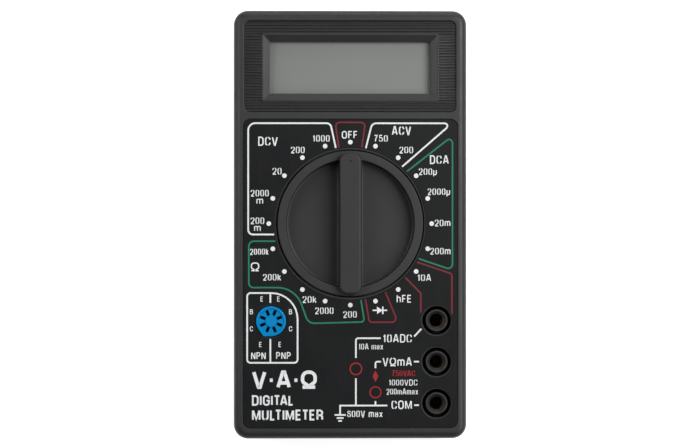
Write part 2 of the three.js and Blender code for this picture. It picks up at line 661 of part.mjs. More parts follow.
place("circuit_board", circuitBoard(), MATERIAL.board);
place("chip_dome", chipDome(), MATERIAL.epoxy);
["high_current", "volt_ohm", "common"].forEach((name, i) => {
  place(`${name}_jack`, jackTube(JACK.ys[i]), MATERIAL.brass);
});
place("transistor_socket", transistorSocket(), MATERIAL.socket);
place("shunt_wire", shuntWire(), MATERIAL.shunt);

place("fuse_tube", fuseTube(), MATERIAL.glass);
place("fuse_element", fuseElement(), MATERIAL.steel);
[-1, 1].forEach((side, i) => {
  place(`fuse_cap_${i + 1}`, fuseCap(side), MATERIAL.steel);
  place(`fuse_clip_${i + 1}`, fuseClip(side), MATERIAL.brass);
});

place("trimmer_base", trimmerBase(), MATERIAL.trimmer);
place("trimmer_rotor", trimmerRotor(), MATERIAL.dial);
place("rectifier_diode", axialPart(-18, -17, 1.3, 5), MATERIAL.epoxy);
place("transistor", transistor(24, 22), MATERIAL.epoxy);
[[-20, 34], [-24, 22], [-8, 34], [5, 34]].forEach(([x, y], i) => {
  place(`film_capacitor_${i + 1}`, filmCapacitor(x, y), MATERIAL.film);
});
for (let i = 0; i < 8; i++) {
  const [column, row] = [i % 2, Math.floor(i / 2)];
  const [x, y] = [column ? 9 : -9, 18 - row * 8.5];
  place(`resistor_${i + 1}`, axialPart(x, y, 1.15, 6.3), MATERIAL.resistor);
}
BOARD_SCREWS.forEach(([x, y], i) => {
  place(`board_screw_${i + 1}`, screw(x, y, BOARD_SCREW), MATERIAL.steel);
});

place("battery", battery(), MATERIAL.battery);
place("battery_snap", batterySnap(), MATERIAL.black);
place("positive_lead", supplyLead(SNAP.leadZ[0], 18, -24), MATERIAL.red);
place("negative_lead", supplyLead(SNAP.leadZ[1], 14.5, -24), MATERIAL.black);
const foil = slab(roundedRect(48, 56, 2, 0, 2), CASE.wall + GAP, CASE.wall + GAP + 0.15, 3);
place("shield_foil", foil, MATERIAL.foil);

export default meter;
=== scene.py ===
import math

import bmesh
import bpy
from mathutils import Matrix, Vector


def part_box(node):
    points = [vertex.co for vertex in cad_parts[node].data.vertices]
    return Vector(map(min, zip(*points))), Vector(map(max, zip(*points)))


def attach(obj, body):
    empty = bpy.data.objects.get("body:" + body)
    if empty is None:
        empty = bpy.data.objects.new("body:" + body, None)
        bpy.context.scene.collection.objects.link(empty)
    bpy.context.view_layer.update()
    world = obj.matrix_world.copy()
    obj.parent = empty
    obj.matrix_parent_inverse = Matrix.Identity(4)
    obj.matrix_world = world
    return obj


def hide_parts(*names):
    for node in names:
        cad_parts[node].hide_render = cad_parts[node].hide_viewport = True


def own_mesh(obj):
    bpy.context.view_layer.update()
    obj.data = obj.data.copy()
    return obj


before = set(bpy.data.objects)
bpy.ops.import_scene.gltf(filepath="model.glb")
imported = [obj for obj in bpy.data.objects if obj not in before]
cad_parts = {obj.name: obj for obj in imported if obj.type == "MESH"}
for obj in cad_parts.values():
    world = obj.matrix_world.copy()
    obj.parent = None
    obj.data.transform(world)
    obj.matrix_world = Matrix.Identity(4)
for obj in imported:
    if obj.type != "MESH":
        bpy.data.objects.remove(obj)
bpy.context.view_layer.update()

MM = 0.001

# ---- dimensions, millimetres

CASE_WIDTH, CASE_LENGTH, CASE_DEPTH = 68.5, 126.0, 24.0
CASE_CORNER, CASE_EDGE, CASE_WALL = 4.2, 2.2, 2.0
SPLIT_LOW, SPLIT_HIGH = 11.0, 11.15
SEAM_ROUND = 0.3
PANEL_INNER, PANEL_FLOOR = 21.8, 23.4
LABEL_WIDTH, LABEL_LENGTH, LABEL_CORNER = 63.2, 90.9, 2.2
LABEL_Y, LABEL_TOP, LABEL_PLAY = -14.45, 23.7, 0.1
BELOW_LABEL, ABOVE = 22.0, 26.0  # where cutters start under the label, and where they end over the case

RECESS_WIDTH, RECESS_HEIGHT, RECESS_CORNER, RECESS_Y = 62.2, 26.8, 1.8, 46.5
DISPLAY_Y = 46.2
FRAME_WIDTH, FRAME_HEIGHT, FRAME_TOP = 52.1, 20.1, 23.7
WINDOW_WIDTH, WINDOW_HEIGHT, WINDOW_EDGE = 47.4, 15.3, 22.8
RIB_COUNT, RIB_FLOOR, RIB_CREST = 33, 23.16, 23.68

DIAL_Y = 0.3
DIAL_HOLE, DIAL_RADIUS, DIAL_RING = 21.75, 21.4, 18.9
DIAL_TOP, DIAL_BOTTOM = 24.6, 17.4
BAR_WIDTH, BAR_LENGTH, BAR_TOP, BAR_CORNER = 6.5, 41.4, 27.6, 2.4
FLANGE_RADIUS, FLANGE_LOW, FLANGE_HIGH = 25.6, 18.9, 21.2
STATIONS, STATION_RADIUS, STATION_DOT = 20, 23.95, 0.68
BALL_X, TOOTH_HEIGHT, TOOTH_HALF, TOOTH_LENGTH = 23.5, 0.4, 0.5, 2.6

JACK_X, JACK_YS = 25.4, (-28.2, -40.4, -52.6)
WELL_RADIUS, COLLAR_RADIUS, COLLAR_BORE = 4.25, 3.25, 2.02
WELL_FLOOR, JACK_LIP = 15.3, 22.4
TUBE_RADIUS, TUBE_BORE, TUBE_LOW = 2.6, 2.0, 5.5

SOCKET_X, SOCKET_Y, SOCKET_RADIUS, SOCKET_TOP = -23.3, -28.4, 4.45, 24.3
SOCKET_KEY, SOCKET_HOLES = (-2.19, -4.49), 8
CASE_SCREWS = ((-28.6, -19.0), (28.6, -19.0))
BOARD_SCREWS = ((-28.4, 28.0), (28.4, 28.0), (12.5, -30.5))
BOARD_LOW, BOARD_HIGH = 12.4, 14.0
BOARD_BACK, BOARD_FRONT = BOARD_LOW - 0.05, BOARD_HIGH + 0.05  # where parts on either side of the board meet it

INK_LINE, COLOUR_LINE = 0.49, 0.46
INK_ANGLE = 40
INK_LOW, INK_HIGH = LABEL_TOP - 0.01, LABEL_TOP + 0.02
CORNER_STEPS = 10

# ---- outlines


def arc(x, y, radius, start, end, steps):
    """Points along an arc, its angles in degrees."""
    turns = [math.radians(start + (end - start) * i / steps) for i in range(steps + 1)]
    return [(x + radius * math.cos(a), y + radius * math.sin(a)) for a in turns]


def circle(x, y, radius, segments):
    return arc(x, y, radius, 0, 360, segments)[:-1]


def rounded_rect(width, height, radius, x=0.0, y=0.0, steps=CORNER_STEPS):
    w, h = width / 2 - radius, height / 2 - radius
    corners = ((1, 1, 0), (-1, 1, 90), (-1, -1, 180), (1, -1, 270))
    return [
        p
        for sx, sy, start in corners
        for p in arc(x + sx * w, y + sy * h, radius, start, start + 90, steps)
    ]


def inset_rect(by):
    """The case's outline moved inwards."""
    return rounded_rect(CASE_WIDTH - 2 * by, CASE_LENGTH - 2 * by, max(CASE_CORNER - by, 0.4))


def block_outline(width, height, corner, x=0.0, y=0.0, steps=5):
    """A function that gives this rounded rectangle moved inwards, or outwards by a negative distance."""
    return lambda d: rounded_rect(width - 2 * d, height - 2 * d, max(corner - d, 0.02), x, y, steps)


def quarter_round(radius, steps):
    """Points up a quarter circle: (distance inwards, distance up)."""
    turns = [math.pi / 2 * i / steps for i in range(steps + 1)]
    return [(radius * (1 - math.cos(a)), radius * math.sin(a)) for a in turns]


MITRE_LIMIT = 1.7


def offset_sides(line, width, closed=False):
    """Both sides of a 2-D line drawn at this width."""
    clean = [Vector(p) for i, p in enumerate(line) if i == 0 or (Vector(p) - Vector(line[i - 1])).length > 1e-4]
    if closed and (clean[0] - clean[-1]).length < 1e-4:
        clean.pop()
    count = len(clean)
    left, right = [], []
    for i, here in enumerate(clean):
        steps = []
        if closed or i:
            steps.append(here - clean[i - 1])
        if closed or i < count - 1:
            steps.append(clean[(i + 1) % count] - here)
        normals = [Vector((-step.y, step.x)).normalized() for step in steps]
        middle = sum(normals, Vector((0, 0))).normalized()
        reach = width / 2 * min(1 / max(middle.dot(normals[0]), 0.1), MITRE_LIMIT)
        left.append(here + middle * reach)
        right.append(here - middle * reach)
    return left, right


def strip_outline(line, thickness):
    """The outline of a bent strip seen from its edge."""
    left, right = offset_sides(line, thickness)
    return [tuple(p) for p in left + right[::-1]]


def at(outline, z):
    return [(x, y, z) for x, y in outline]


def raised(profile, base):
    """A profile whose heights are counted from a base."""
    return [(radius, base + z) for radius, z in profile]


def full_turn(steps):
    return [2 * math.pi * i / steps for i in range(steps)]


def socket_outline(grow=0.0):
    """The transistor socket: a disc drawn out to a keying corner at its lower left."""
    radius = SOCKET_RADIUS + grow
    key = Vector(SOCKET_KEY)
    key *= (key.length + grow * 1.1) / key.length
    corner = arc(SOCKET_X + key.x * 0.93, SOCKET_Y + key.y * 0.93, 0.35, 218, 270, 5)
    return arc(SOCKET_X, SOCKET_Y, radius, -90, 218, 44) + corner


# ---- solids


def add_object(name, data):
    obj = bpy.data.objects.new(name, data)
    bpy.context.scene.collection.objects.link(obj)
    return obj


def mesh_object(points, faces):
    mesh = bpy.data.meshes.new("mesh")
    mesh.from_pydata(points, [], faces)
    shape = bmesh.new()
    shape.from_mesh(mesh)
    bmesh.ops.remove_doubles(shape, verts=shape.verts, dist=1e-5)
    bmesh.ops.recalc_face_normals(shape, faces=shape.faces)
    shape.to_mesh(mesh)
    shape.free()
    return add_object("piece", mesh)


def loft(loops):
    """A closed solid through loops of equal length."""
    count = len(loops[0])
    points = [p for loop in loops for p in loop]
    faces = [list(range(count))[::-1], [len(points) - count + i for i in range(count)]]
    for row in range(len(loops) - 1):
        for i in range(count):
            j = (i + 1) % count
            low, high = row * count, (row + 1) * count
            faces.append([low + i, low + j, high + j, high + i])
    return mesh_object(points, faces)


def stack(outline_at, levels):
    """A solid through (distance inwards, z) levels of an outline."""
    return loft([at(outline_at(inwards), z) for inwards, z in levels])


def prism(outline, low, high):
    return loft([at(outline, low), at(outline, high)])


def slab(width, height, corner, x, y, low, high, steps=CORNER_STEPS):
    return prism(rounded_rect(width, height, corner, x, y, steps), low, high)


def lathe(profile, x=0.0, y=0.0, segments=64):
    """A body of rotation from (radius, z) points that start and end on the axis, or a ring if none is on it."""
    points, rings = [], []
    for radius, z in profile:
        ring = [(x, y)] if radius < 1e-6 else circle(x, y, radius, segments)
        rings.append([len(points) + i for i in range(len(ring))])
        points += [(px, py, z) for px, py in ring]
    pairs = list(zip(rings, rings[1:]))
    if len(rings[0]) > 1:
        pairs.append((rings[-1], rings[0]))
    faces = []
    for a, b in pairs:
        for i in range(segments):
            j = (i + 1) % segments
            corners = [a[i % len(a)], a[j % len(a)], b[j % len(b)], b[i % len(b)]]
            face = list(dict.fromkeys(corners))
            if len(face) > 2:
                faces.append(face)
    return mesh_object(points, faces)


def peg(radius, low, high, x=0.0, y=0.0, segments=32):
    """A plain round solid."""
    return lathe([(0, low), (radius, low), (radius, high), (0, high)], x, y, segments)


def boolean(obj, others, operation):
    for other in others:
        modifier = obj.modifiers.new("shape", "BOOLEAN")
        modifier.object = other
        modifier.operation = operation
        modifier.solver = "MANIFOLD"
    graph = bpy.context.evaluated_depsgraph_get()
    mesh = bpy.data.meshes.new_from_object(obj.evaluated_get(graph))
    obj.modifiers.clear()
    obj.data = mesh
    for other in others:
        bpy.data.objects.remove(other)
    return obj


def cut(obj, *others):
    return boolean(obj, others, "DIFFERENCE")


def merge(obj, *others):
    return boolean(obj, others, "UNION")


def common(obj, other):
    return boolean(obj, [other], "INTERSECT")


SMOOTH_ANGLE = 32  # degrees; a sharper edge between two faces stays sharp


def finish_piece(obj, name, material, node=None, body="meter", angle=SMOOTH_ANGLE):
    """Names the piece, turns it to metres, smooths it up to the angle and hides the CAD node it stands for."""
    obj.name = obj.data.name = name
    obj.data.transform(Matrix.Scale(MM, 4))
    shape = bmesh.new()
    shape.from_mesh(obj.data)
    bmesh.ops.remove_doubles(shape, verts=shape.verts, dist=1e-7)
    bmesh.ops.dissolve_degenerate(shape, edges=shape.edges, dist=1e-7)
    shape.to_mesh(obj.data)
    shape.free()
    obj.data.shade_smooth()
    obj.data.set_sharp_from_angle(angle=math.radians(angle))
    obj.data.materials.clear()
    obj.data.materials.append(material)
    normals = obj.modifiers.new("normals", "WEIGHTED_NORMAL")
    normals.keep_sharp = True
    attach(obj, body)
    if node:
        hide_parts(node)
    return obj


# ---- materials


class Paint:
    """One procedural material, its nodes fed by the piece's own coordinates in metres."""

    def __init__(self, name, **sockets):
        self.material = bpy.data.materials.new(name)
        self.material.use_nodes = True
        self.tree = self.material.node_tree
        self.shader = self.tree.nodes["Principled BSDF"]
        self.fill(self.shader, sockets)
        self.coords = self.add("TexCoord", "Object", {})

    def fill(self, node, inputs):
        """Sets a node's inputs, or feeds them where the value is another node's output."""
        for key, value in inputs.items():
            socket = node.inputs[key.replace("_", " ") if isinstance(key, str) else key]
            if isinstance(value, bpy.types.NodeSocket):
                self.tree.links.new(value, socket)
            elif value is not None:
                socket.default_value = (*value, 1.0) if socket.type == "RGBA" else value

    def add(self, kind, output, inputs, **settings):
        """One output of a new node."""
        node = self.tree.nodes.new("ShaderNode" + kind)
        for key, value in settings.items():
            setattr(node, key, value)
        self.fill(node, inputs)
        return node.outputs[output]

    def noise(self, scale, detail=3.0, roughness=0.55, stretch=None):
        place = self.coords
        if stretch:
            place = self.add("Mapping", "Vector", {"Vector": place, "Scale": stretch})
        shape = {"Scale": scale, "Detail": detail, "Roughness": roughness}
        return self.add("TexNoise", "Fac", {"Vector": place, **shape})

    def range(self, value, low, high, from_low=0.3, from_high=0.7):
        limits = {"From Min": from_low, "From Max": from_high, "To Min": low, "To Max": high}
        return self.add("MapRange", "Result", {"Value": value, **limits})

    def sum(self, a, b):
        return self.add("Math", "Value", {0: a, 1: b}, operation="ADD")

    def mix(self, factor, a, b):
        return self.add("Mix", 2, {0: factor, 6: a, 7: b}, data_type="RGBA")

    def bump(self, height, strength, distance, before=None):
        inputs = {"Height": height, "Strength": strength, "Distance": distance, "Normal": before}
        return self.add("Bump", "Normal", inputs)

    def ramp(self, value, stops, interpolation="LINEAR"):
        colours = self.add("ValToRGB", "Color", {"Fac": value})
        scale = colours.node.color_ramp
        scale.interpolation = interpolation
        while len(scale.elements) < len(stops):
            scale.elements.new(0.5)
        for element, (position, colour) in zip(scale.elements, stops):
            element.position = position
            element.color = (*colour, 1.0)
        return colours

    def varied(self, value, colour, low, high):
        """The colour, from low times to high times as bright."""
        return self.ramp(value, [(0.3, shade(colour, low)), (0.7, shade(colour, high))])

    def finish(self, **inputs):
        self.fill(self.shader, inputs)
        return self.material


def shade(colour, factor):
    return tuple(min(1.0, c * factor) for c in colour)


def moulded(name, colour, rough, grain=7000.0, relief=0.35, wear=0.25, vary=0.12, **sockets):
    """Moulded plastic: spark-eroded grain, faint flow marks, polish where hands rub, and fine scratches."""
    paint = Paint(name, **sockets)
    handling = paint.noise(110.0, 6.0, 0.65)
    pits = paint.noise(grain, 2.0, 0.5)
    scratch = paint.noise(900.0, 2.0, 0.4, stretch=(1.0, 0.06, 1.0))
    base = paint.varied(paint.noise(45.0, 4.0), colour, 1 - vary, 1 + vary)
    tone = paint.mix(paint.range(handling, 0.0, wear, 0.5, 0.75), base, shade(colour, 1.6))
    return paint.finish(
        Base_Color=paint.mix(paint.range(pits, 0.0, 0.3, 0.45, 0.8), tone, shade(colour, 0.7)),
        Roughness=paint.sum(paint.range(handling, rough + 0.05, rough - 0.07),
                            paint.range(scratch, 0.0, 0.06, 0.55, 0.7)),
        Normal=paint.bump(scratch, relief * 0.25, 0.00001, paint.bump(pits, relief, 0.00003)))


TARNISH = (0.6, 0.55, 0.5)


def metal(name, colour, rough, stretch=(1.0, 1.0, 14.0), scale=900.0):
    """Worked metal: turning or drawing marks, and a thin tarnish in patches."""
    paint = Paint(name, Metallic=1.0)
    marks = paint.noise(scale, 3.0, 0.6, stretch=stretch)
    patches = paint.noise(300.0, 5.0, 0.6)
    dull = tuple(c * t for c, t in zip(colour, TARNISH))
    bright = paint.varied(marks, colour, 0.86, 1.06)
    return paint.finish(
        Base_Color=paint.mix(paint.range(patches, 0.0, 0.7, 0.48, 0.75), bright, dull),
        Roughness=paint.range(patches, rough - 0.06, rough + 0.16),
        Normal=paint.bump(marks, 0.25, 0.00001))


def glossy(name, colour, rough, grain=1800.0, relief=0.12, **sockets):
    """Smooth lacquer, dipped coating or bright moulding with a slight orange peel."""
    paint = Paint(name, **sockets)
    return paint.finish(
        Base_Color=paint.varied(paint.noise(160.0, 4.0), colour, 0.9, 1.1),
        Roughness=paint.range(paint.noise(420.0, 5.0, 0.6), rough - 0.04, rough + 0.1),
        Normal=paint.bump(paint.noise(grain, 2.0, 0.4), relief, 0.00002))


def ink(name, colour):
    """Screen-printed ink: slightly uneven cover with the mesh's fine marks."""
    paint = Paint(name, Specular_IOR_Level=0.2)
    cover = paint.noise(2600.0, 3.0, 0.6)
    tone = paint.varied(paint.noise(180.0, 3.0), colour, 0.93, 1.04)
    return paint.finish(
        Base_Color=paint.mix(paint.range(cover, 0.0, 0.5, 0.58, 0.8), tone, shade(colour, 0.72)),
        Roughness=paint.range(cover, 0.45, 0.62),
        Normal=paint.bump(cover, 0.2, 0.00001))


def clear(name, tint, gloss=0.5, veil=0.06):
    """Thin clear sheet or tube: light goes straight through, with a reflection and faint dust and wipe marks."""
    paint = Paint(name, Specular_IOR_Level=gloss, Base_Color=shade(tint, 0.25))
    wipe = paint.noise(260.0, 4.0, 0.6, stretch=(1.0, 0.25, 1.0))
    material = paint.finish(
        Roughness=paint.range(wipe, 0.03, 0.11),
        Normal=paint.bump(paint.noise(60.0, 2.0), 0.05, 0.00005))
    edge = paint.add("LayerWeight", "Facing", {"Blend": 0.12})
    dust = paint.range(paint.noise(2400.0, 5.0, 0.7), 0.0, 0.03, 0.6, 0.8)
    through = paint.add("BsdfTransparent", "BSDF", {"Color": tint})
    both = paint.add("MixShader", "Shader", {
        "Fac": paint.sum(paint.sum(edge, veil), dust), 1: through, 2: paint.shader.outputs["BSDF"]})
    paint.fill(paint.tree.nodes["Material Output"], {"Surface": both})
    return material


CASING = moulded("casing", (0.0152, 0.0152, 0.0152), 0.47, grain=6500.0, relief=0.5, wear=0.14, vary=0.07, IOR=1.38)
KNOB = moulded("knob", (0.0202, 0.0198, 0.0209), 0.5, grain=9000.0, relief=0.3, IOR=1.32)
LABEL = moulded("label", (0.0057, 0.006, 0.0066), 0.42, grain=12000.0, relief=0.1, wear=0.1, vary=0.07, IOR=1.23)
WHITE_INK = ink("white_ink", (0.54, 0.56, 0.56))
GREEN_INK = ink("green_ink", (0.010, 0.135, 0.07))
RED_INK = ink("red_ink", (0.125, 0.012, 0.018))
SIGNAL_INK = ink("signal_ink", (0.25, 0.012, 0.012))
BLUE = glossy("blue_moulding", (0.001, 0.155, 0.36), 0.3, IOR=1.22)
BRASS = metal("brass", (0.55, 0.42, 0.22), 0.3)
STEEL = metal("steel", (0.60, 0.61, 0.63), 0.32)
WINDOW = clear("window", (0.97, 0.98, 0.97))


def lcd_film():
    """The grey polarising film of a display that is switched off, with a fine haze."""
    paint = Paint("lcd_film", Specular_IOR_Level=0.3)
    fibre = paint.noise(5000.0, 2.0, 0.5)
    tone = paint.ramp(paint.noise(30.0, 3.0), [(0.25, (0.186, 0.187, 0.18)), (0.75, (0.212, 0.21, 0.207))])
    return paint.finish(
        Base_Color=paint.mix(paint.range(fibre, 0.0, 0.12), tone, (0.16, 0.16, 0.155)),
        Roughness=paint.range(fibre, 0.34, 0.46),
        Normal=paint.bump(fibre, 0.08, 0.00001))


LCD_FILM = lcd_film()

# ---- front shell


def rib_cutter():
    """What is cut away over the ribbed floor round the display: the recess above a corrugated floor."""
    low_y, high_y = RECESS_Y - RECESS_HEIGHT / 2, RECESS_Y + RECESS_HEIGHT / 2
    pitch = RECESS_HEIGHT / RIB_COUNT
    rib = [(0.0, RIB_FLOOR), (0.14, RIB_FLOOR), (0.25, RIB_CREST - 0.13), (0.38, RIB_CREST - 0.02), (0.50, RIB_CREST),
           (0.62, RIB_CREST - 0.02), (0.75, RIB_CREST - 0.13), (0.86, RIB_FLOOR)]
    floor = [(low_y + (i + share) * pitch, z) for i in range(RIB_COUNT) for share, z in rib]
    ends = [(low_y - 1, ABOVE), (low_y - 1, RIB_FLOOR)], [(high_y + 1, RIB_FLOOR), (high_y + 1, ABOVE)]
    half = RECESS_WIDTH / 2 + 1
    corrugated = loft([[(x, y, z) for y, z in ends[0] + floor + ends[1]] for x in (-half, half)])
    recess = block_outline(RECESS_WIDTH, RECESS_HEIGHT, RECESS_CORNER, 0, RECESS_Y, CORNER_STEPS)
    return common(corrugated, flared_pocket(recess, PANEL_INNER + 0.2, CASE_DEPTH, 0.3))


def flare(low, surface, lip):
    """(distance outwards, z) levels of a cutter whose mouth is rounded over by lip at the surface."""
    mouth = [(out, surface - lip + up) for out, up in quarter_round(lip, 5)]
    return [(0.0, low), *mouth, (lip * 1.5, surface + 1)]


def flared_pocket(outline_at, low, surface, lip):
    return stack(outline_at, [(-out, z) for out, z in flare(low, surface, lip)])


def flared_hole(radius, low, surface, lip, x=0.0, y=0.0, segments=128):
    wall = [(radius + out, z) for out, z in flare(low, surface, lip)]
    return lathe([(0, low), *wall, (0, surface + 1)], x, y, segments)


def display_frame_keep():
    """The bevelled frame's outside, which the ribbed recess goes round."""
    levels = [(0.0, 21.0), (0.0, FRAME_TOP - 0.16), (0.05, FRAME_TOP - 0.05), (0.16, FRAME_TOP), (0.16, ABOVE)]
    return stack(lambda d: rounded_rect(FRAME_WIDTH - 2 * d, FRAME_HEIGHT - 2 * d, 0.7, 0, DISPLAY_Y, 5), levels)


def display_slope():
    """The four mitred slopes down to the window, and the window's own wall."""
    rim = FRAME_WIDTH - 1.0, FRAME_HEIGHT - 1.0
    window = WINDOW_WIDTH, WINDOW_HEIGHT
    levels = [(window, 0.0, 0.25, 20.5), (window, 0.0, 0.25, WINDOW_EDGE - 0.05),
              (window, 0.12, 0.28, WINDOW_EDGE + 0.02), (rim, -0.1, 0.3, FRAME_TOP - 0.06),
              (rim, 0.2, 0.35, FRAME_TOP + 0.01), (rim, 0.2, 0.35, ABOVE)]
    return loft([at(rounded_rect(width + grow, height + grow, corner, 0, DISPLAY_Y, 5), z)
                 for (width, height), grow, corner, z in levels])


def jack_cutter(y):
    """The blind ring for a plug's shroud, and the bore in the collar that stands inside it."""
    return lathe([
        (0, 13.0), (2.7, 13.0), (2.7, JACK_LIP), (COLLAR_BORE, JACK_LIP), (COLLAR_BORE, PANEL_FLOOR - 0.95),
        (COLLAR_BORE + 0.06, PANEL_FLOOR - 0.8), (COLLAR_BORE + 0.7, PANEL_FLOOR - 0.12),
        (COLLAR_BORE + 0.8, PANEL_FLOOR - 0.03), (COLLAR_BORE + 0.86, PANEL_FLOOR),
        *arc(COLLAR_RADIUS - 0.28, PANEL_FLOOR - 0.28, 0.28, 90, 0, 6),
        (COLLAR_RADIUS, WELL_FLOOR + 0.2), (COLLAR_RADIUS + 0.2, WELL_FLOOR), (WELL_RADIUS - 0.2, WELL_FLOOR),
        (WELL_RADIUS, WELL_FLOOR + 0.2), (WELL_RADIUS, PANEL_FLOOR - 0.15), (WELL_RADIUS + 0.04, PANEL_FLOOR - 0.05),
        (WELL_RADIUS + 0.15, PANEL_FLOOR), (WELL_RADIUS + 0.2, ABOVE), (0, ABOVE),
    ], JACK_X, y, 72)


def detent_teeth():
    """The ring of small ridges under the panel, one midway between each two stations, that the balls click over."""
    base, tip = PANEL_INNER + 0.1, PANEL_INNER - TOOTH_HEIGHT
    half = [(-TOOTH_HALF, base), (-0.12, tip + 0.08), (-0.05, tip + 0.015)]
    profile = half + [(-x, z) for x, z in half[::-1]]
    teeth = []
    for i in range(STATIONS):
        turn = Matrix.Translation((0, DIAL_Y, 0)) @ Matrix.Rotation(2 * math.pi * (i + 0.5) / STATIONS, 4, "Z")
        ends = (BALL_X - TOOTH_LENGTH / 2, BALL_X + TOOTH_LENGTH / 2)
        teeth.append(loft([[tuple(turn @ Vector((x, reach, z))) for x, z in profile] for reach in ends]))
    return teeth


ROOT = PANEL_INNER + 0.1  # how far up the parts under the panel reach to join it


def front_shell():
    seam = [(SEAM_ROUND, SPLIT_HIGH), (0.09, SPLIT_HIGH + 0.09), (0.0, SPLIT_HIGH + SEAM_ROUND)]
    edge = [(inwards, CASE_DEPTH - CASE_EDGE + up) for inwards, up in quarter_round(CASE_EDGE, 9)]
    hull = stack(inset_rect, seam + edge)
    hollow = prism(inset_rect(CASE_WALL), SPLIT_HIGH - 1, PANEL_INNER)
    tongue_room = prism(inset_rect(1.0), SPLIT_HIGH - 1, SPLIT_LOW + 1.9)
    cut(hull, hollow, tongue_room)
    bosses = [peg(2.2, BOARD_FRONT, ROOT, x, y, 28) for x, y in BOARD_SCREWS]
    posts = [peg(2.7, SPLIT_HIGH + 0.15, ROOT, x, y, 28) for x, y in CASE_SCREWS]
    wells = [lathe([(0, 14.3), (5.1, 14.3), (5.35, 14.55), (5.35, ROOT), (0, ROOT)], JACK_X, y, 48) for y in JACK_YS]
    rib = cut(slab(54.4, 22.8, 0.8, 0, DISPLAY_Y, 20.6, ROOT), slab(52.2, 20.6, 0.5, 0, DISPLAY_Y, 19, 22.5))
    battery_ribs = [slab(42, 1.2, 0.3, -7, y, 20, ROOT, 3) for y in (-41, -54)]
    merge(hull, *bosses, *posts, *wells, rib, *battery_ribs, *detent_teeth())
    label_room = block_outline(LABEL_WIDTH, LABEL_LENGTH, LABEL_CORNER, 0, LABEL_Y, CORNER_STEPS)
    cut(
        hull,
        flared_pocket(label_room, PANEL_FLOOR, CASE_DEPTH, 0.22),
        cut(rib_cutter(), display_frame_keep()),
        slab(60, 25, 1.2, 0, DISPLAY_Y, FRAME_TOP, ABOVE),
        display_slope(),
        flared_hole(DIAL_HOLE, PANEL_INNER - 1, PANEL_FLOOR, 0.15, 0, DIAL_Y),
        prism(socket_outline(0.27), PANEL_INNER - 1, ABOVE),
    )
    cut(hull, *[jack_cutter(y) for y in JACK_YS])
    pilots = [peg(1, 13, 20, x, y, 16) for x, y in BOARD_SCREWS]
    return cut(hull, *pilots, *[peg(1.4, 10, 20, x, y, 16) for x, y in CASE_SCREWS])


finish_piece(front_shell(), "front_shell", CASING, "front_case")

# ---- rear shell

PLATE = (46.0, 30.0, 2.0, 0.0, -2.0)  # width, height, corner, x and y of the recess in the back
GRIPS, GRIP_WIDTH, GRIP_PITCH, GRIP_Y = 6, 40.0, 3.2, 36.0
REAR_ROOT = CASE_WALL - 0.1  # how deep the parts inside the back start, to join its floor


def grip_cutter(y):
    """A shallow finger groove with rounded ends and a round bottom."""
    levels = ((-0.25, -1.0), (-0.25, -0.001), (-0.1, 0.05), (0.0, 0.2), (0.2, 0.42), (0.6, 0.5))
    return stack(block_outline(GRIP_WIDTH, 1.6, 0.75, 0, y, 6), levels)


def plate_cutter():
    levels = ((-0.25, -1.0), (-0.25, -0.001), (-0.09, 0.06), (0.0, 0.2), (0.0, 0.36), (0.04, 0.4))
    return stack(block_outline(*PLATE, CORNER_STEPS), levels)


def rear_shell():
    edge = [(inwards, CASE_EDGE - up) for inwards, up in quarter_round(CASE_EDGE, 9)[::-1]]
    seam = [(0.0, SPLIT_LOW - SEAM_ROUND), (0.09, SPLIT_LOW - 0.09), (SEAM_ROUND, SPLIT_LOW)]
    hull = stack(inset_rect, edge + seam)
    cut(hull, prism(inset_rect(CASE_WALL), CASE_WALL, 20))
    tongue = cut(prism(inset_rect(1.15), SPLIT_LOW - 0.5, SPLIT_LOW + 1.7), prism(inset_rect(CASE_WALL), 9, 20))
    boss = [(0, REAR_ROOT), (3.9, REAR_ROOT), (3.7, 2.3), (3.7, 10.7), (0, 10.7)]
    top = CASE_LENGTH / 2 - CASE_WALL
    hooks = [slab(6, 1.15, 0.2, x, top - 0.725, 5, 15, 3) for x in (-20, 20)]
    roots = [slab(6, 1.35, 0.2, x, top - 0.625, REAR_ROOT, 10.4, 3) for x in (-20, 20)]
    battery_wall = slab(47.85, 1.15, 0.3, -8.425, -33.575, REAR_ROOT, 10, 3)
    merge(hull, tongue, *[lathe(boss, x, y, 36) for x, y in CASE_SCREWS], battery_wall)
    merge(hull, *roots)
    merge(hull, *hooks)
    mouth = [(0, -1), (3.0, -1), (3.0, -0.001), (2.78, 0.06), (2.7, 0.25), (2.7, 5.8), (0, 5.8)]
    counterbores = [lathe(mouth, x, y, 48) for x, y in CASE_SCREWS]
    cut(hull, plate_cutter(), *[grip_cutter(GRIP_Y + i * GRIP_PITCH) for i in range(GRIPS)])
    return cut(hull, *counterbores, *[peg(1.5, 5, 11.5, x, y, 24) for x, y in CASE_SCREWS])


finish_piece(rear_shell(), "rear_shell", CASING, "rear_case")

# ---- printed panel


def printed_panel():
    outline_at = block_outline(LABEL_WIDTH - 2 * LABEL_PLAY, LABEL_LENGTH - 2 * LABEL_PLAY, LABEL_CORNER - LABEL_PLAY,
                               0, LABEL_Y, CORNER_STEPS)
    edge = ((0.0, PANEL_FLOOR), (0.0, LABEL_TOP - 0.05), (0.02, LABEL_TOP - 0.015), (0.05, LABEL_TOP))
    sheet = stack(outline_at, edge)
    dial = flared_hole(DIAL_HOLE + 0.55, BELOW_LABEL, LABEL_TOP, 0.06, 0, DIAL_Y)
    jacks = [flared_hole(WELL_RADIUS + 0.35, BELOW_LABEL, LABEL_TOP, 0.06, JACK_X, y, 64) for y in JACK_YS]
    return cut(sheet, dial, *jacks, prism(socket_outline(0.52), BELOW_LABEL, ABOVE))


finish_piece(printed_panel(), "printed_panel", LABEL, "front_label")

# ---- range selector


SCOOP_LOW, SCOOP_FILLET, SCOOP_LIP = 20.0, 0.7, 0.14
BALL_BORE_LOW = 15.6


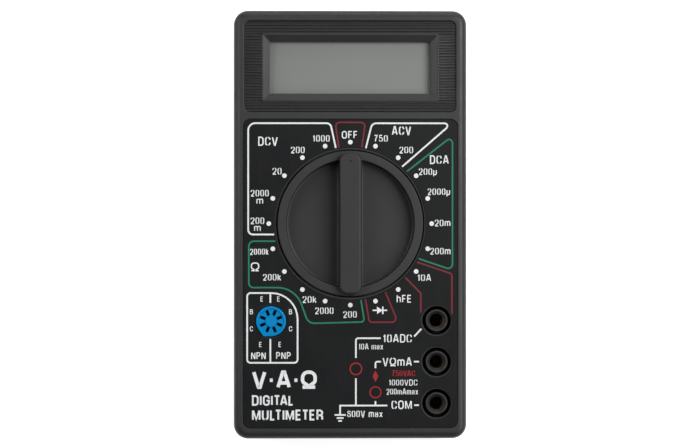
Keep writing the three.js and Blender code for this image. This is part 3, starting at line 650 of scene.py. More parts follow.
def scoop_cutter(side):
    """A flat-floored finger well beside the grip bar: filleted floor, straight walls and a rounded rim."""
    fillet = [(SCOOP_LOW + inwards, SCOOP_FILLET - up, 0.0) for inwards, up in quarter_round(SCOOP_FILLET, 7)]
    rim = [(DIAL_TOP - SCOOP_LIP + up, 0.0, outwards) for outwards, up in quarter_round(SCOOP_LIP, 5)]
    loops = []
    for z, inwards, outwards in fillet + rim + [(31, 0.0, SCOOP_LIP)]:
        radius = DIAL_RING - inwards + outwards
        spread = math.degrees(math.acos((BAR_WIDTH / 2 - 0.05 + inwards) / radius))
        outline = arc(0, DIAL_Y, radius, -spread, spread, 72)
        loops.append([(side * x, side * (y - DIAL_Y) + DIAL_Y, z) for x, y in outline])
    return loft(loops)


def selector_dial():
    disc = lathe([
        (0, DIAL_BOTTOM), (DIAL_RADIUS, DIAL_BOTTOM), (DIAL_RADIUS, FLANGE_LOW), (FLANGE_RADIUS, FLANGE_LOW),
        (FLANGE_RADIUS, FLANGE_HIGH), (DIAL_RADIUS, FLANGE_HIGH),
        *arc(DIAL_RADIUS - 0.35, DIAL_TOP - 0.35, 0.35, 0, 90, 6), (0, DIAL_TOP),
    ], 0, DIAL_Y, 160)
    cut(disc, scoop_cutter(1), scoop_cutter(-1))
    edge = 0.75
    levels = [(0.0, 19.0)] + [(inwards, BAR_TOP - edge + up) for inwards, up in quarter_round(edge, 6)]
    bar = stack(block_outline(BAR_WIDTH, BAR_LENGTH, BAR_CORNER, 0, DIAL_Y, CORNER_STEPS), levels)
    spigot = lathe([(0, 11.8), (1.7, 11.8), (1.9, 12.0), (1.9, 17.9), (0, 17.9)], 0, DIAL_Y, 32)
    merge(disc, bar, spigot, *[peg(2.1, 14.5, 19.4, s * BALL_X, DIAL_Y) for s in (-1, 1)])
    dimple = raised([(0, -0.28), (0.22, -0.24), (0.4, -0.1), (0.5, 0.01), (0.5, 1), (0, 1)], BAR_TOP)
    return cut(disc, lathe(dimple, 0, DIAL_Y + 18.1, 20), *[peg(1.35, BALL_BORE_LOW, 22, s * BALL_X, DIAL_Y, 24) for s in (-1, 1)])


finish_piece(selector_dial(), "selector_dial", KNOB, "selector_knob", "selector")

# ---- printed ink


def rounded_path(points, closed=False, steps=6):
    """A polyline through (x, y) or (x, y, radius) points, with the corners rounded."""
    line = []
    count = len(points)
    for i, p in enumerate(points):
        here = Vector(p[:2])
        radius = p[2] if len(p) > 2 else 0.0
        inner = closed or 0 < i < count - 1
        if not radius or not inner:
            line.append(tuple(here))
            continue
        before, after = Vector(points[i - 1][:2]), Vector(points[(i + 1) % count][:2])
        u, v = (before - here), (after - here)
        room = min(u.length, v.length)
        room *= 0.6 if closed or 1 < i < count - 2 else 0.98
        u.normalize()
        v.normalize()
        half = math.acos(max(-1.0, min(1.0, u.dot(v)))) / 2
        reach = min(radius / math.tan(half), room)
        radius = reach * math.tan(half)
        centre = here + (u + v).normalized() * (radius / math.sin(half))
        start, end = here + u * reach - centre, here + v * reach - centre
        a0, a1 = math.atan2(start.y, start.x), math.atan2(end.y, end.x)
        turn = (a1 - a0 + math.pi) % (2 * math.pi) - math.pi
        for k in range(steps + 1):
            a = a0 + turn * k / steps
            line.append((centre.x + radius * math.cos(a), centre.y + radius * math.sin(a)))
    return line


def ribbon(line, width, closed=False, lift=0.0):
    """A flat line of ink of this width as a closed thin solid: (points, faces)."""
    left, right = offset_sides(line, width, closed)
    count = len(left)
    points, faces = [], []
    for i in range(count):
        for side in (left[i], right[i]):
            points += [(side.x, side.y, INK_LOW), (side.x, side.y, INK_HIGH + lift)]
    for i in range(count if closed else count - 1):
        a, b = 4 * i, 4 * ((i + 1) % count)
        faces += [[a + 1, a + 3, b + 3, b + 1], [a, b, b + 2, a + 2]]
        faces += [[a, a + 1, b + 1, b], [a + 2, b + 2, b + 3, a + 3]]
    if not closed:
        last = 4 * (count - 1)
        faces += [[0, 2, 3, 1], [last, last + 1, last + 3, last + 2]]
    return points, faces


def patch(outline, lift=0.0):
    """A filled area of ink."""
    count = len(outline)
    points = [(x, y, INK_LOW) for x, y in outline] + [(x, y, INK_HIGH + lift) for x, y in outline]
    faces = [list(range(count))[::-1], [count + i for i in range(count)]]
    faces += [[i, (i + 1) % count, count + (i + 1) % count, count + i] for i in range(count)]
    return points, faces


def print_ink(name, parts, material):
    points, faces = [], []
    for part_points, part_faces in parts:
        base = len(points)
        points += part_points
        faces += [[base + i for i in face] for face in part_faces]
    obj = mesh_object(points, faces)
    return finish_piece(obj, name, material, angle=INK_ANGLE)


# A plain monoline alphabet: each glyph's width in cap heights, then its strokes. A stroke's points are in shares of
# the glyph's width and height with a corner radius in cap heights; a stroke that ends in "o" is closed.
R = 0.22
GLYPHS = {
    "0": (0.56, [[(0, 0, R), (1, 0, R), (1, 1, R), (0, 1, R), "o"]]),
    "1": (0.33, [[(0.8, 0), (0.8, 1)], [(0, 0.74), (0.4, 0.78, 0.1), (0.8, 0.96)]]),
    "2": (0.56, [[(0, 0.7), (0, 1, R), (1, 1, R), (1, 0.56, 0.2), (0.05, 0.05)], [(-0.05, 0), (1, 0)]]),
    "5": (0.56, [[(0.95, 1), (0.12, 1), (0.04, 0.52), (0.2, 0.64, 0.1), (1, 0.64, R), (1, 0, R), (0, 0, R),
                  (0, 0.26)]]),
    "6": (0.56, [[(1, 0.76), (1, 1, R), (0, 1, R), (0, 0, R), (1, 0, R), (1, 0.6, R), (0, 0.6, 0.1), (0, 0.4)]]),
    "7": (0.54, [[(0, 1), (1, 1), (0.45, 0.45, 0.3), (0.36, 0)]]),
    "A": (0.68, [[(0, 0), (0.42, 1), (0.58, 1), (1, 0)], [(0.2, 0.28), (0.8, 0.28)]]),
    "B": (0.6, [[(0, 0), (1, 0, 0.2), (1, 0.52, 0.2), (0, 0.52), "o"],
                [(0, 0.52), (0.93, 0.52, 0.2), (0.93, 1, 0.2), (0, 1), "o"]]),
    "C": (0.62, [[(1, 0.68), (1, 1, 0.24), (0, 1, 0.24), (0, 0, 0.24), (1, 0, 0.24), (1, 0.32)]]),
    "D": (0.62, [[(0, 0), (1, 0, 0.24), (1, 1, 0.24), (0, 1), "o"]]),
    "E": (0.53, [[(1, 0), (0, 0), (0, 1), (1, 1)], [(0, 0.52), (0.9, 0.52)]]),
    "F": (0.5, [[(0, 0), (0, 1), (1, 1)], [(0, 0.5), (0.88, 0.5)]]),
    "G": (0.64, [[(1, 0.7), (1, 1, 0.24), (0, 1, 0.24), (0, 0, 0.24), (1, 0, 0.2), (1, 0.48), (0.55, 0.48)]]),
    "I": (0.15, [[(0.5, 0), (0.5, 1)]]),
    "L": (0.47, [[(0, 1), (0, 0), (1, 0)]]),
    "M": (0.78, [[(0, 0), (0, 1)], [(1, 0), (1, 1)], [(0.05, 1), (0.5, 0.03), (0.95, 1)]]),
    "N": (0.64, [[(0, 0), (0, 1)], [(1, 0), (1, 1)], [(0.04, 1), (0.96, 0)]]),
    "O": (0.64, [[(0, 0, 0.24), (1, 0, 0.24), (1, 1, 0.24), (0, 1, 0.24), "o"]]),
    "P": (0.58, [[(0, 0), (0, 1), (1, 1, 0.22), (1, 0.46, 0.22), (0, 0.46)]]),
    "R": (0.6, [[(0, 0), (0, 1), (1, 1, 0.22), (1, 0.47, 0.22), (0, 0.47)],
                [(0.5, 0.47), (0.98, 0.43, 0.15), (1, 0)]]),
    "T": (0.6, [[(0, 1), (1, 1)], [(0.5, 0), (0.5, 1)]]),
    "U": (0.62, [[(0, 1), (0, 0, 0.24), (1, 0, 0.24), (1, 1)]]),
    "V": (0.66, [[(0, 1), (0.43, 0), (0.57, 0), (1, 1)]]),
    "a": (0.54, [[(0.05, 0.52), (0.05, 0.74, 0.14), (0.9, 0.74, 0.16), (0.9, 0)],
                 [(0.9, 0.42), (0, 0.42, 0.16), (0, 0, 0.16), (0.9, 0, 0.2), (0.9, 0.2)]]),
    "h": (0.53, [[(0, 0), (0, 1)], [(0, 0.5), (0.05, 0.74, 0.18), (1, 0.74, 0.2), (1, 0)]]),
    "k": (0.52, [[(0, 0), (0, 1)], [(0, 0.28), (0.9, 0.74)], [(0.35, 0.44), (1, 0)]]),
    "m": (0.84, [[(0, 0), (0, 0.74)], [(0, 0.55), (0.04, 0.74, 0.14), (0.5, 0.74, 0.15), (0.5, 0)],
                 [(0.5, 0.55), (0.54, 0.74, 0.14), (1, 0.74, 0.15), (1, 0)]]),
    "x": (0.52, [[(0, 0), (1, 0.74)], [(0, 0.74), (1, 0)]]),
    "u": (0.54, [[(0, -0.28), (0, 0.74)], [(0, 0.3), (0, 0, 0.18), (1, 0, 0.18), (1, 0.74)]]),
    "W": (0.74, [[(0, 0), (0.36, 0), (0.36, 0.14), (0, 0.34, 0.2), (0, 1, 0.3), (1, 1, 0.3), (1, 0.34, 0.2),
                  (0.64, 0.14), (0.64, 0), (1, 0)]]),
    ".": (0.22, [[(-0.6, 0.46), (1.6, 0.46)]]),
    " ": (0.28, []),
}
KERNING = {"LT": -0.13, "TA": -0.13, "AL": -0.03, "VA": -0.08, "IT": -0.02, "TI": -0.02, "TE": -0.05, "ET": -0.05}
GLYPH_GAP, INK_WEIGHT = 0.15, 0.14
LAYER = 0.003  # how much higher each crossing line of ink lies, so that no two tops share a plane


def lettering(text, x, y, width, cap, weight=INK_WEIGHT, gap=GLYPH_GAP):
    """A line of lettering centred on a point and fitted to a width. In it "u" stands for micro and "W" for ohm."""
    steps = [GLYPHS[c][0] + gap + KERNING.get(c + after, 0.0) for c, after in zip(text, text[1:] + " ")]
    natural = (sum(steps) - gap) * cap
    across = width / natural
    stroke = weight * cap
    parts = []
    left = x - width / 2
    for c, step in zip(text, steps):
        glyph_width, strokes = GLYPHS[c]
        box = glyph_width * cap * across - stroke
        for order, raw in enumerate(strokes):
            closed = raw[-1] == "o"
            path = [
                (left + stroke / 2 + p[0] * box, y - cap / 2 + stroke / 2 + p[1] * (cap - stroke))
                + ((p[2] * cap,) if len(p) > 2 else ())
                for p in (raw[:-1] if closed else raw)
            ]
            parts.append(ribbon(rounded_path(path, closed), stroke, closed, LAYER * order))
        left += step * cap * across
    return parts


def print_text(name, items, material=WHITE_INK):
    print_ink(name, [part for item in items for part in lettering(*item)], material)


DIAL_PRINT_EDGE = 22.62


def off_dial(path):
    """The path with any end that reaches over the dial's opening slid back along its own segment."""
    path = [tuple(p) for p in path]
    centre = Vector((0, DIAL_Y))
    for end, other in ((0, 1), (-1, -2)):
        a, b = Vector(path[end][:2]) - centre, Vector(path[other][:2]) - centre
        if a.length < DIAL_PRINT_EDGE:
            d = b - a
            p, q = a.dot(d) / d.length_squared, (a.length_squared - DIAL_PRINT_EDGE ** 2) / d.length_squared
            t = -p + math.sqrt(p * p - q)
            path[end] = tuple(centre + a + d * t)
    return path


def border(points, closed=False, width=INK_LINE, lift=0.0):
    path = points if closed else off_dial(points)
    return ribbon(rounded_path(path, closed, 8), width, closed, lift)


WHITE_BORDERS = [
    [(-4.2, 22.2), (-5.85, 29.8, 1.4), (-30, 29.8, 2.1), (-30, -2.9, 1.4), (-22.2, -2.9)],
    [(4.5, 22.2), (6.4, 29.8, 1.6), (29.9, 29.8, 0.8), (15.1, 16.9)],
]
GREEN_BORDERS = [
    [(16.5, 15.5), (29.3, 25.5, 0.9), (30.07, 24.2, 0.6), (30.07, -13.4, 1.3), (20.1, -10.0)],
    [(-21.9, -4.87), (-29.83, -4.87, 1.5), (-29.83, -18.5, 1.4), (-16.1, -18.5, 7.5), (-12.35, -29.05, 2.6),
     (4.15, -28.6, 0.9), (3.1, -22.0)],
]
RED_BORDERS = [
    [(-3.3, 22.2), (-4.45, 30.05, 1.2), (4.45, 30.05, 1.2), (3.3, 22.2)],
    [(19.6, -11.0), (29.9, -14.5, 1.0), (29.9, -26.3)],
    [(16.2, -15.6), (20.75, -20.2, 0.6), (20.75, -25.9)],
    [(4.35, -21.4), (5.6, -28.7, 1.0), (14.0, -28.7, 1.2), (10.3, -19.8)],
]
SOCKET_BOX = [(-30.3, -20.1, 1.0), (-30.3, -40.6, 1.0), (-15.5, -40.6, 1.0), (-15.5, -20.1, 7.7)]
SOCKET_LINES = [[(-23.5, -20.1), (-23.5, -23.0)], [(-23.5, -33.6), (-23.5, -40.5)]]
for colour, borders, width, material in (
    ("white", WHITE_BORDERS, INK_LINE, WHITE_INK),
    ("green", GREEN_BORDERS, COLOUR_LINE, GREEN_INK),
    ("red", RED_BORDERS, COLOUR_LINE, RED_INK),
):
    print_ink(f"range_borders_{colour}", [border(b, width=width) for b in borders], material)
print_ink("transistor_box", [border(SOCKET_BOX, True)] + [border(b, lift=LAYER) for b in SOCKET_LINES], WHITE_INK)

dots = arc(0, DIAL_Y, STATION_RADIUS, 90, -270, STATIONS)[:-1]
print_ink("station_dots", [patch(circle(x, y, STATION_DOT, 24)) for x, y in dots], WHITE_INK)

RANGE_TEXT = [
    ("DCV", -24.2, 24.5, 5.75, 2.7), ("1000", -8.55, 25.35, 5.0, 2.07), ("200", -15.45, 21.95, 4.05, 2.07),
    ("20", -21.55, 15.7, 2.7, 2.07), ("2000", -26.6, 9.25, 5.3, 2.07), ("200", -27.3, 1.15, 4.0, 2.07),
    ("OFF", -0.2, 26.4, 4.6, 2.26), ("750", 9.0, 25.35, 4.05, 2.07), ("ACV", 15.05, 27.65, 5.65, 2.7),
    ("200", 16.45, 21.95, 4.05, 2.07), ("DCA", 26.2, 19.1, 5.55, 2.6), ("200u", 22.8, 15.6, 5.3, 2.07),
    ("2000u", 26.05, 9.7, 6.6, 2.07), ("20m", 27.15, 0.5, 4.6, 2.07), ("200m", 26.5, -7.8, 6.0, 2.07),
    ("10A", 21.75, -15.6, 4.0, 2.07), ("hFE", 15.8, -21.8, 4.35, 2.3), ("200", -0.1, -26.4, 4.0, 2.07),
    ("2000", -7.65, -25.3, 5.4, 2.07), ("20k", -12.0, -22.0, 4.1, 2.07), ("200k", -23.0, -15.45, 5.3, 2.07),
    ("2000k", -26.75, -7.95, 5.5, 1.95), ("W", -28.0, -12.4, 2.5, 2.6), ("m", -26.6, 7.05, 1.95, 2.0),
    ("m", -27.3, -0.95, 1.95, 2.0),
]
print_text("range_lettering", RANGE_TEXT)


def diode_symbol(x, y):
    """An arrowhead against a bar, on a line."""
    half, high = 2.12, 1.1
    head = [(x - 0.85, y - high), (x + 0.7, y), (x - 0.85, y + high)]
    return [
        ribbon([(x - half, y), (x + half, y)], 0.4),
        patch(head, LAYER),
        ribbon([(x + 0.85, y - high), (x + 0.85, y + high)], 0.42, lift=2 * LAYER),
    ]


print_ink("diode_mark", diode_symbol(8.7, -25.2), WHITE_INK)

SOCKET_TEXT = [
    ("E", -26.0, -21.85, 0.8, 1.5), ("E", -21.1, -21.85, 0.8, 1.5), ("B", -29.05, -25.6, 0.9, 1.45),
    ("B", -17.55, -25.6, 0.9, 1.5), ("C", -29.05, -30.6, 0.9, 1.45), ("C", -17.55, -30.6, 0.95, 1.5),
    ("E", -26.4, -35.2, 0.8, 1.5), ("E", -20.7, -35.2, 0.8, 1.5), ("NPN", -27.0, -38.55, 4.3, 2.15),
    ("PNP", -19.65, -38.5, 4.3, 2.15),
]
print_text("transistor_lettering", SOCKET_TEXT)

TITLE_TEXT = [
    ("V.A.W", -19.35, -45.55, 19.0, 5.4, 0.185, 0.12), ("DIGITAL", -22.8, -51.65, 12.2, 3.1, 0.165, 0.12),
    ("MULTIMETER", -18.45, -55.95, 20.9, 3.2, 0.165, 0.12),
]
print_text("title_lettering", TITLE_TEXT)

INPUT_TEXT = [
    ("10ADC", 13.85, -33.45, 8.5, 2.5), ("10A max", 6.05, -35.85, 7.2, 1.85, 0.125), ("VWmA", 13.8, -40.35, 8.6, 2.6),
    ("1000VDC", 15.55, -46.45, 8.4, 1.85, 0.13), ("200mAmax", 15.3, -49.1, 9.3, 1.85, 0.125),
    ("COM", 15.1, -53.0, 6.0, 2.6), ("600V max", 4.3, -55.65, 10.4, 2.1, 0.135),
]
print_text("input_lettering", INPUT_TEXT)
print_text("input_rating_red", [("750VAC", 15.65, -43.75, 6.8, 1.85, 0.13)], SIGNAL_INK)

INPUT_LINES = [
    [(8.95, -33.4), (1.64, -33.4, 0.7), (1.64, -39.2)], [(18.8, -32.9), (20.9, -30.65)],
    [(1.64, -45.2), (1.64, -53.2)], [(18.7, -40.3), (20.2, -40.3)], [(9.0, -40.3), (7.4, -40.3, 0.6), (7.4, -42.2)],
    [(7.4, -51.9), (7.4, -53.2)], [(18.8, -53.1), (20.2, -53.1)], [(-3.0, -55.8), (-3.0, -53.2), (10.9, -53.2)],
    [(-4.65, -55.95), (-1.35, -55.95)], [(-4.0, -56.85), (-2.0, -56.85)], [(-3.5, -57.7), (-2.5, -57.7)],
]
INPUT_WIDTH, LAYERS = 0.48, 4
input_ink = [border(b, width=INPUT_WIDTH, lift=LAYER * (i % LAYERS)) for i, b in enumerate(INPUT_LINES)]
print_ink("input_lines", input_ink, WHITE_INK)


def plain_ring(x, y, radius):
    corners = ((-radius, -radius), (radius, -radius), (radius, radius), (-radius, radius))
    return border([(x + px, y + py, radius - 0.01) for px, py in corners], True, 0.34)


def diamond(x, y, half_width, half_height):
    return patch([(x, y - half_height), (x + half_width, y), (x, y + half_height), (x - half_width, y)])


print_ink("input_marks", [
    plain_ring(1.64, -42.4, 1.7), plain_ring(7.4, -49.3, 1.6), diamond(7.4, -44.6, 0.85, 1.7)
], SIGNAL_INK)

# ---- transistor socket and input sockets


def transistor_socket():
    """The blue socket: rounded rim, eight flared slots round a slightly raised centre."""
    rim = [(0.0, -0.35), (-0.05, -0.17), (-0.14, -0.06), (-0.3, 0.0)]
    body = stack(socket_outline, [(0.0, BOARD_FRONT)] + raised(rim, SOCKET_TOP))
    dish = [(1.75, -0.25), (3.55, -0.25), (3.75, 0.01), (3.75, 1), (1.55, 1), (1.55, 0.01)]
    cut(body, lathe(raised(dish, SOCKET_TOP), SOCKET_X, SOCKET_Y, 64))
    slots = []
    for i in range(SOCKET_HOLES):
        turn = Matrix.Rotation(math.radians(360 / SOCKET_HOLES * (i + 0.5)), 4, "Z")
        loops = []
        for grow, z in ((0.0, 17.3), (0.0, SOCKET_TOP - 0.45), (0.22, SOCKET_TOP - 0.24), (0.22, SOCKET_TOP + 1)):
            outline = rounded_rect(1.55 + grow, 0.8 + grow, 0.15 + grow / 2, 2.62, 0, 3)
            loops.append([tuple(turn @ Vector((x, y, z)) + Vector((SOCKET_X, SOCKET_Y, 0))) for x, y in outline])
        slots.append(loft(loops))
    return cut(body, *slots)


finish_piece(transistor_socket(), "transistor_socket_body", BLUE, "transistor_socket")


def socket_tube(y):
    """A turned brass tube: chamfered mouth, soldering shoulder, and rounded lower end."""
    top = JACK_LIP - 0.05
    return lathe([
        (TUBE_BORE, TUBE_LOW + 0.15), (TUBE_BORE, top - 0.3), (TUBE_BORE + 0.25, top), (TUBE_RADIUS - 0.1, top),
        (TUBE_RADIUS, top - 0.1), (TUBE_RADIUS, 12.35), (3.3, 12.35), (3.4, 12.25), (3.4, 11.3), (3.3, 11.2),
        (TUBE_RADIUS, 11.2), (TUBE_RADIUS, TUBE_LOW + 0.15), (TUBE_RADIUS - 0.15, TUBE_LOW),
        (TUBE_BORE + 0.15, TUBE_LOW),
    ], JACK_X, y, 56)


for jack, y in zip(("high_current", "volt_ohm", "common"), JACK_YS):
    finish_piece(socket_tube(y), f"{jack}_tube", BRASS, f"{jack}_jack")

# ---- display


def pane(width, height, corner, y, low, high, edge):
    levels = ((edge, low), (0.0, low + edge), (0.0, high - edge), (edge, high))
    return stack(lambda d: rounded_rect(width - 2 * d, height - 2 * d, corner, 0, y, 4), levels)


window = pane(51.8, 20.2, 0.8, DISPLAY_Y, low=20.75, high=21.75, edge=0.12)
film = pane(50.0, 17.9, 0.3, 47.35, low=20.35, high=20.6, edge=0.03)
finish_piece(window, "clear_window", WINDOW, "display_window")
finish_piece(film, "display_film", LCD_FILM, "lcd_polarizer")

# ---- helpers for the parts inside



def middle(node):
    """The centre of a CAD node, in millimetres."""
    low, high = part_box(node)
    return (Vector(low) + Vector(high)) / 2 / MM


def along_x(obj, x=0.0, y=0.0, z=0.0):
    """Turns a piece made along the vertical axis so that it lies along X, and moves it."""
    obj.data.transform(Matrix.Translation((x, y, z)) @ Matrix.Rotation(math.pi / 2, 4, "Y"))
    return obj


def curve_through(points):
    """A Catmull-Rom curve through the points."""
    line, steps = [], 6
    ends = [points[0]] + list(points) + [points[-1]]
    for a, b, c, d in zip(ends, ends[1:], ends[2:], ends[3:]):
        for i in range(steps):
            t = i / steps
            line.append(tuple(
                0.5 * (2 * q + (r - p) * t + (2 * p - 5 * q + 4 * r - s) * t * t + (3 * q - p - 3 * r + s) * t ** 3)
                for p, q, r, s in zip(a, b, c, d)
            ))
    return line + [tuple(points[-1])]


def wire(line, radius, sides=12):
    """A round wire along a 3-D line."""
    line = [Vector(p) for p in line]
    last = len(line) - 1
    normal = None
    loops = []
    for i, p in enumerate(line):
        along = (line[min(i + 1, last)] - line[max(i - 1, 0)]).normalized()
        normal = (normal - along * normal.dot(along)).normalized() if normal else along.orthogonal().normalized()
        side = along.cross(normal)
        loops.append([tuple(p + normal * x + side * y) for x, y in circle(0, 0, radius, sides)])
    return loft(loops)


def gather(objects):
    """Several solids that don't touch, as one mesh."""
    shape = bmesh.new()
    for obj in objects:
        shape.from_mesh(obj.data)
        bpy.data.objects.remove(obj)
    mesh = bpy.data.meshes.new("mesh")
    shape.to_mesh(mesh)
    shape.free()
    return add_object("piece", mesh)


def rounded_block(outline_at, low, high, edge, steps=4):
    """A solid with both rims rounded over, from a function that gives its outline moved inwards."""
    curve = quarter_round(edge, steps)
    bottom = [(edge - up, low + inwards) for inwards, up in curve]
    return stack(outline_at, bottom + [(inwards, high - edge + up) for inwards, up in curve])


# ---- finishes inside

BRONZE = metal("spring_bronze", (0.62, 0.38, 0.20), 0.28, stretch=(1.0, 1.0, 3.0), scale=2200.0)
BALL_STEEL = metal("ball_steel", (0.66, 0.67, 0.69), 0.12, stretch=(1.0, 1.0, 1.0), scale=1500.0)
COPPER = metal("copper_wire", (0.70, 0.36, 0.20), 0.3)
GOLD = metal("contact_gold", (0.75, 0.55, 0.22), 0.25, stretch=(1.0, 1.0, 1.0))
TIN = metal("solder", (0.62, 0.63, 0.64), 0.3, stretch=(1.0, 1.0, 1.0), scale=2600.0)
FOIL = metal("foil", (0.72, 0.73, 0.74), 0.34, stretch=(1.0, 12.0, 1.0), scale=260.0)
HOLDER = moulded("holder", (0.03, 0.03, 0.031), 0.55, IOR=1.4)
SNAP = moulded("battery_snap", (0.018, 0.018, 0.019), 0.45, IOR=1.42)
EPOXY = glossy("epoxy", (0.010, 0.010, 0.011), 0.32, grain=900.0, relief=0.4)
PACKAGE = moulded("component_package", (0.012, 0.012, 0.013), 0.48, grain=9000.0, IOR=1.42)
CAP_GREEN = glossy("capacitor_coat", (0.02, 0.17, 0.045), 0.22, grain=700.0, relief=0.5)
TRIM_BLUE = glossy("trimmer_base", (0.014, 0.07, 0.34), 0.38)
TRIM_WHITE = moulded("trimmer_rotor", (0.66, 0.65, 0.60), 0.45, vary=0.05, IOR=1.45)
RED_WIRE = glossy("red_insulation", (0.42, 0.015, 0.018), 0.38, grain=2600.0, relief=0.3)
BLACK_WIRE = glossy("black_insulation", (0.012, 0.012, 0.013), 0.4, grain=2600.0, relief=0.3)
GLASS = clear("glass", (0.93, 0.97, 0.95), gloss=0.6, veil=0.08)


def board_material():
    """Green solder mask over glass fabric, thicker and glossier in places."""
    paint = Paint("board")
    cloud = paint.noise(220.0, 3.0)
    weave = paint.noise(1500.0, 2.0, 0.4, stretch=(1.0, 0.25, 1.0))
    mask = paint.ramp(cloud, [(0.3, (0.008, 0.080, 0.028)), (0.7, (0.011, 0.105, 0.036))])
    return paint.finish(
        Base_Color=paint.mix(paint.range(weave, 0.0, 0.3), mask, (0.016, 0.13, 0.05)),
        Roughness=paint.range(cloud, 0.26, 0.4),
        Normal=paint.bump(weave, 0.2, 0.00002))


def zebra_material():
    """Silicone rubber with fine conductive stripes across the strip."""
    paint = Paint("zebra_rubber")
    stripes = paint.noise(2300.0, 0.0, stretch=(1.0, 0.0, 0.0))
    return paint.finish(
        Base_Color=paint.ramp(stripes, [(0.46, (0.015, 0.015, 0.016)), (0.54, (0.35, 0.34, 0.33))]),
        Roughness=paint.range(paint.noise(900.0), 0.55, 0.75),
        Normal=paint.bump(stripes, 0.3, 0.00001))


def banded(name, base, start, bands, rough=0.35):
    """A lacquered body with bands across X: (width in millimetres, colour) from a starting X."""
    paint = Paint(name)
    total = sum(width for width, _ in bands)
    x = paint.add("SeparateXYZ", "X", {"Vector": paint.coords})
    stops, along = [], 0.0
    for width, colour in bands:
        stops.append((along / total, colour or base))
        along += width
    colours = paint.ramp(paint.range(x, 0.0, 1.0, start * MM, (start + total) * MM), stops, "CONSTANT")
    smear = paint.noise(420.0, 4.0)
    return paint.finish(
        Base_Color=paint.mix(paint.range(smear, 0.0, 0.25), colours, shade(base, 0.8)),
        Roughness=paint.range(smear, rough - 0.05, rough + 0.1),
        Normal=paint.bump(paint.noise(1500.0), 0.2, 0.00002))


# ---- screws

CROSS_HALF, CROSS_TAPER = 0.32, 0.55


def cross_outline(reach, half, x, y):
    """A plus sign."""
    quarter = [(half, half), (half, reach), (-half, reach)]
    turned = [Matrix.Rotation(math.pi / 2 * i, 2) @ Vector(p) for i in range(4) for p in quarter]
    return [(x + p.x, y + p.y) for p in turned]


def screw(x, y, head, shank, low, high, tip, pitch=1.1):
    """A pan-head screw that points up, with a tapered cross in its head and a helical thread."""
    dome = raised([(0, 0), (head * 0.55, 0.02), (head * 0.82, 0.16), (head * 0.96, 0.42), (head, 0.75)], low)
    pan = lathe(dome + [(head, high - 0.12), (head - 0.12, high), (0, high)], x, y, 48)
    recess = [(head * 0.6, CROSS_HALF, low - 0.5), (head * 0.6, CROSS_HALF, low + 0.1),
              (head * 0.28, CROSS_HALF * CROSS_TAPER, low + 1.15)]
    cut(pan, loft([at(cross_outline(reach, half, x, y), z) for reach, half, z in recess]))
    segments, depth = 24, shank * 0.24
    rows = int((tip - high) / pitch * 6)
    loops = []
    for row in range(rows + 1):
        z = high - 0.1 + (tip - high + 0.1) * row / rows
        taper = min(1.0, 0.25 + (tip - z) / 1.2)
        ridge = [abs(2 * (((z - high) / pitch - i / segments) % 1) - 1) for i in range(segments)]
        radii = [(shank - depth + depth * max(0.0, 2 * r - 1)) * taper for r in ridge]
        loops.append([(x + r * math.cos(a), y + r * math.sin(a), z) for r, a in zip(radii, full_turn(segments))])
    return merge(pan, loft(loops))


CASE_SCREW = {"head": 2.4, "shank": 1.2, "low": 4.0, "high": 5.75, "tip": 17.5}
BOARD_SCREW = {"head": 1.9, "shank": 0.8, "low": 11.0, "high": BOARD_BACK, "tip": 19.0, "pitch": 0.8}
for kind, places, sizes in (("case", CASE_SCREWS, CASE_SCREW), ("board", BOARD_SCREWS, BOARD_SCREW)):
    for i, (x, y) in enumerate(places):
        name = f"{kind}_screw_{i + 1}"
        finish_piece(screw(x, y, **sizes), f"{name}_threaded", STEEL, name)

# ---- display stack behind the window


def sheet_for(node, edge, corner=0.15):
    """A flat pane in a CAD node's own space, with its edges ground off."""
    low, high = (Vector(p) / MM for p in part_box(node))
    size, centre = high - low, (low + high) / 2
    return rounded_block(block_outline(size.x, size.y, corner, centre.x, centre.y, 3), low.z, high.z, edge, 2)


for node, piece, material, slot, edge in (
    ("lcd_front_glass", "display_front_pane", GLASS, "lcd_glass", 0.12),
    ("lcd_rear_glass", "display_rear_pane", GLASS, "lcd_glass", 0.12),
    ("lcd_reflector", "display_mirror", FOIL, "foil", 0.03),
    ("zebra_strip", "zebra_rubber", zebra_material(), "rubber", 0.25),
    ("shield_foil", "foil_shield", FOIL, "foil", 0.03),
):
    finish_piece(sheet_for(node, edge, 2.0 if node == "shield_foil" else 0.3), piece, material, node)


HOLDER_Y = 45.7


def display_holder():
    """The frame that carries the display, with a pocket, an opening and a slot for the rubber strip."""
    holder = rounded_block(block_outline(56, 25.4, 1.0, 0, HOLDER_Y), BOARD_FRONT, 20.5, 0.25)
    pocket = slab(51.0, 22.2, 0.3, 0, HOLDER_Y, 17.85, 22, 3)
    opening = loft([at(rounded_rect(46.0 + grow, 15.0 + grow, 0.8, 0, 47.5, 4), z)
                    for grow, z in ((0.0, 10), (0.0, 17.2), (1.0, 17.9))])
    return cut(holder, pocket, opening, slab(48.6, 2.8, 0.3, 0, 36.4, 10, 18, 3))


finish_piece(display_holder(), "display_holder", HOLDER, "lcd_holder")

# ---- moving parts under the dial

CONTACT_RADII = (8.8, 13.0, 16.6)
CONTACT_ARM = [(-4.1, -2.55), (-3.4, -3.1, 0.5), (-1.0, -0.2, 0.7)]
CONTACT_LINE = CONTACT_ARM + [(-x, *rest) for x, *rest in CONTACT_ARM[::-1]]


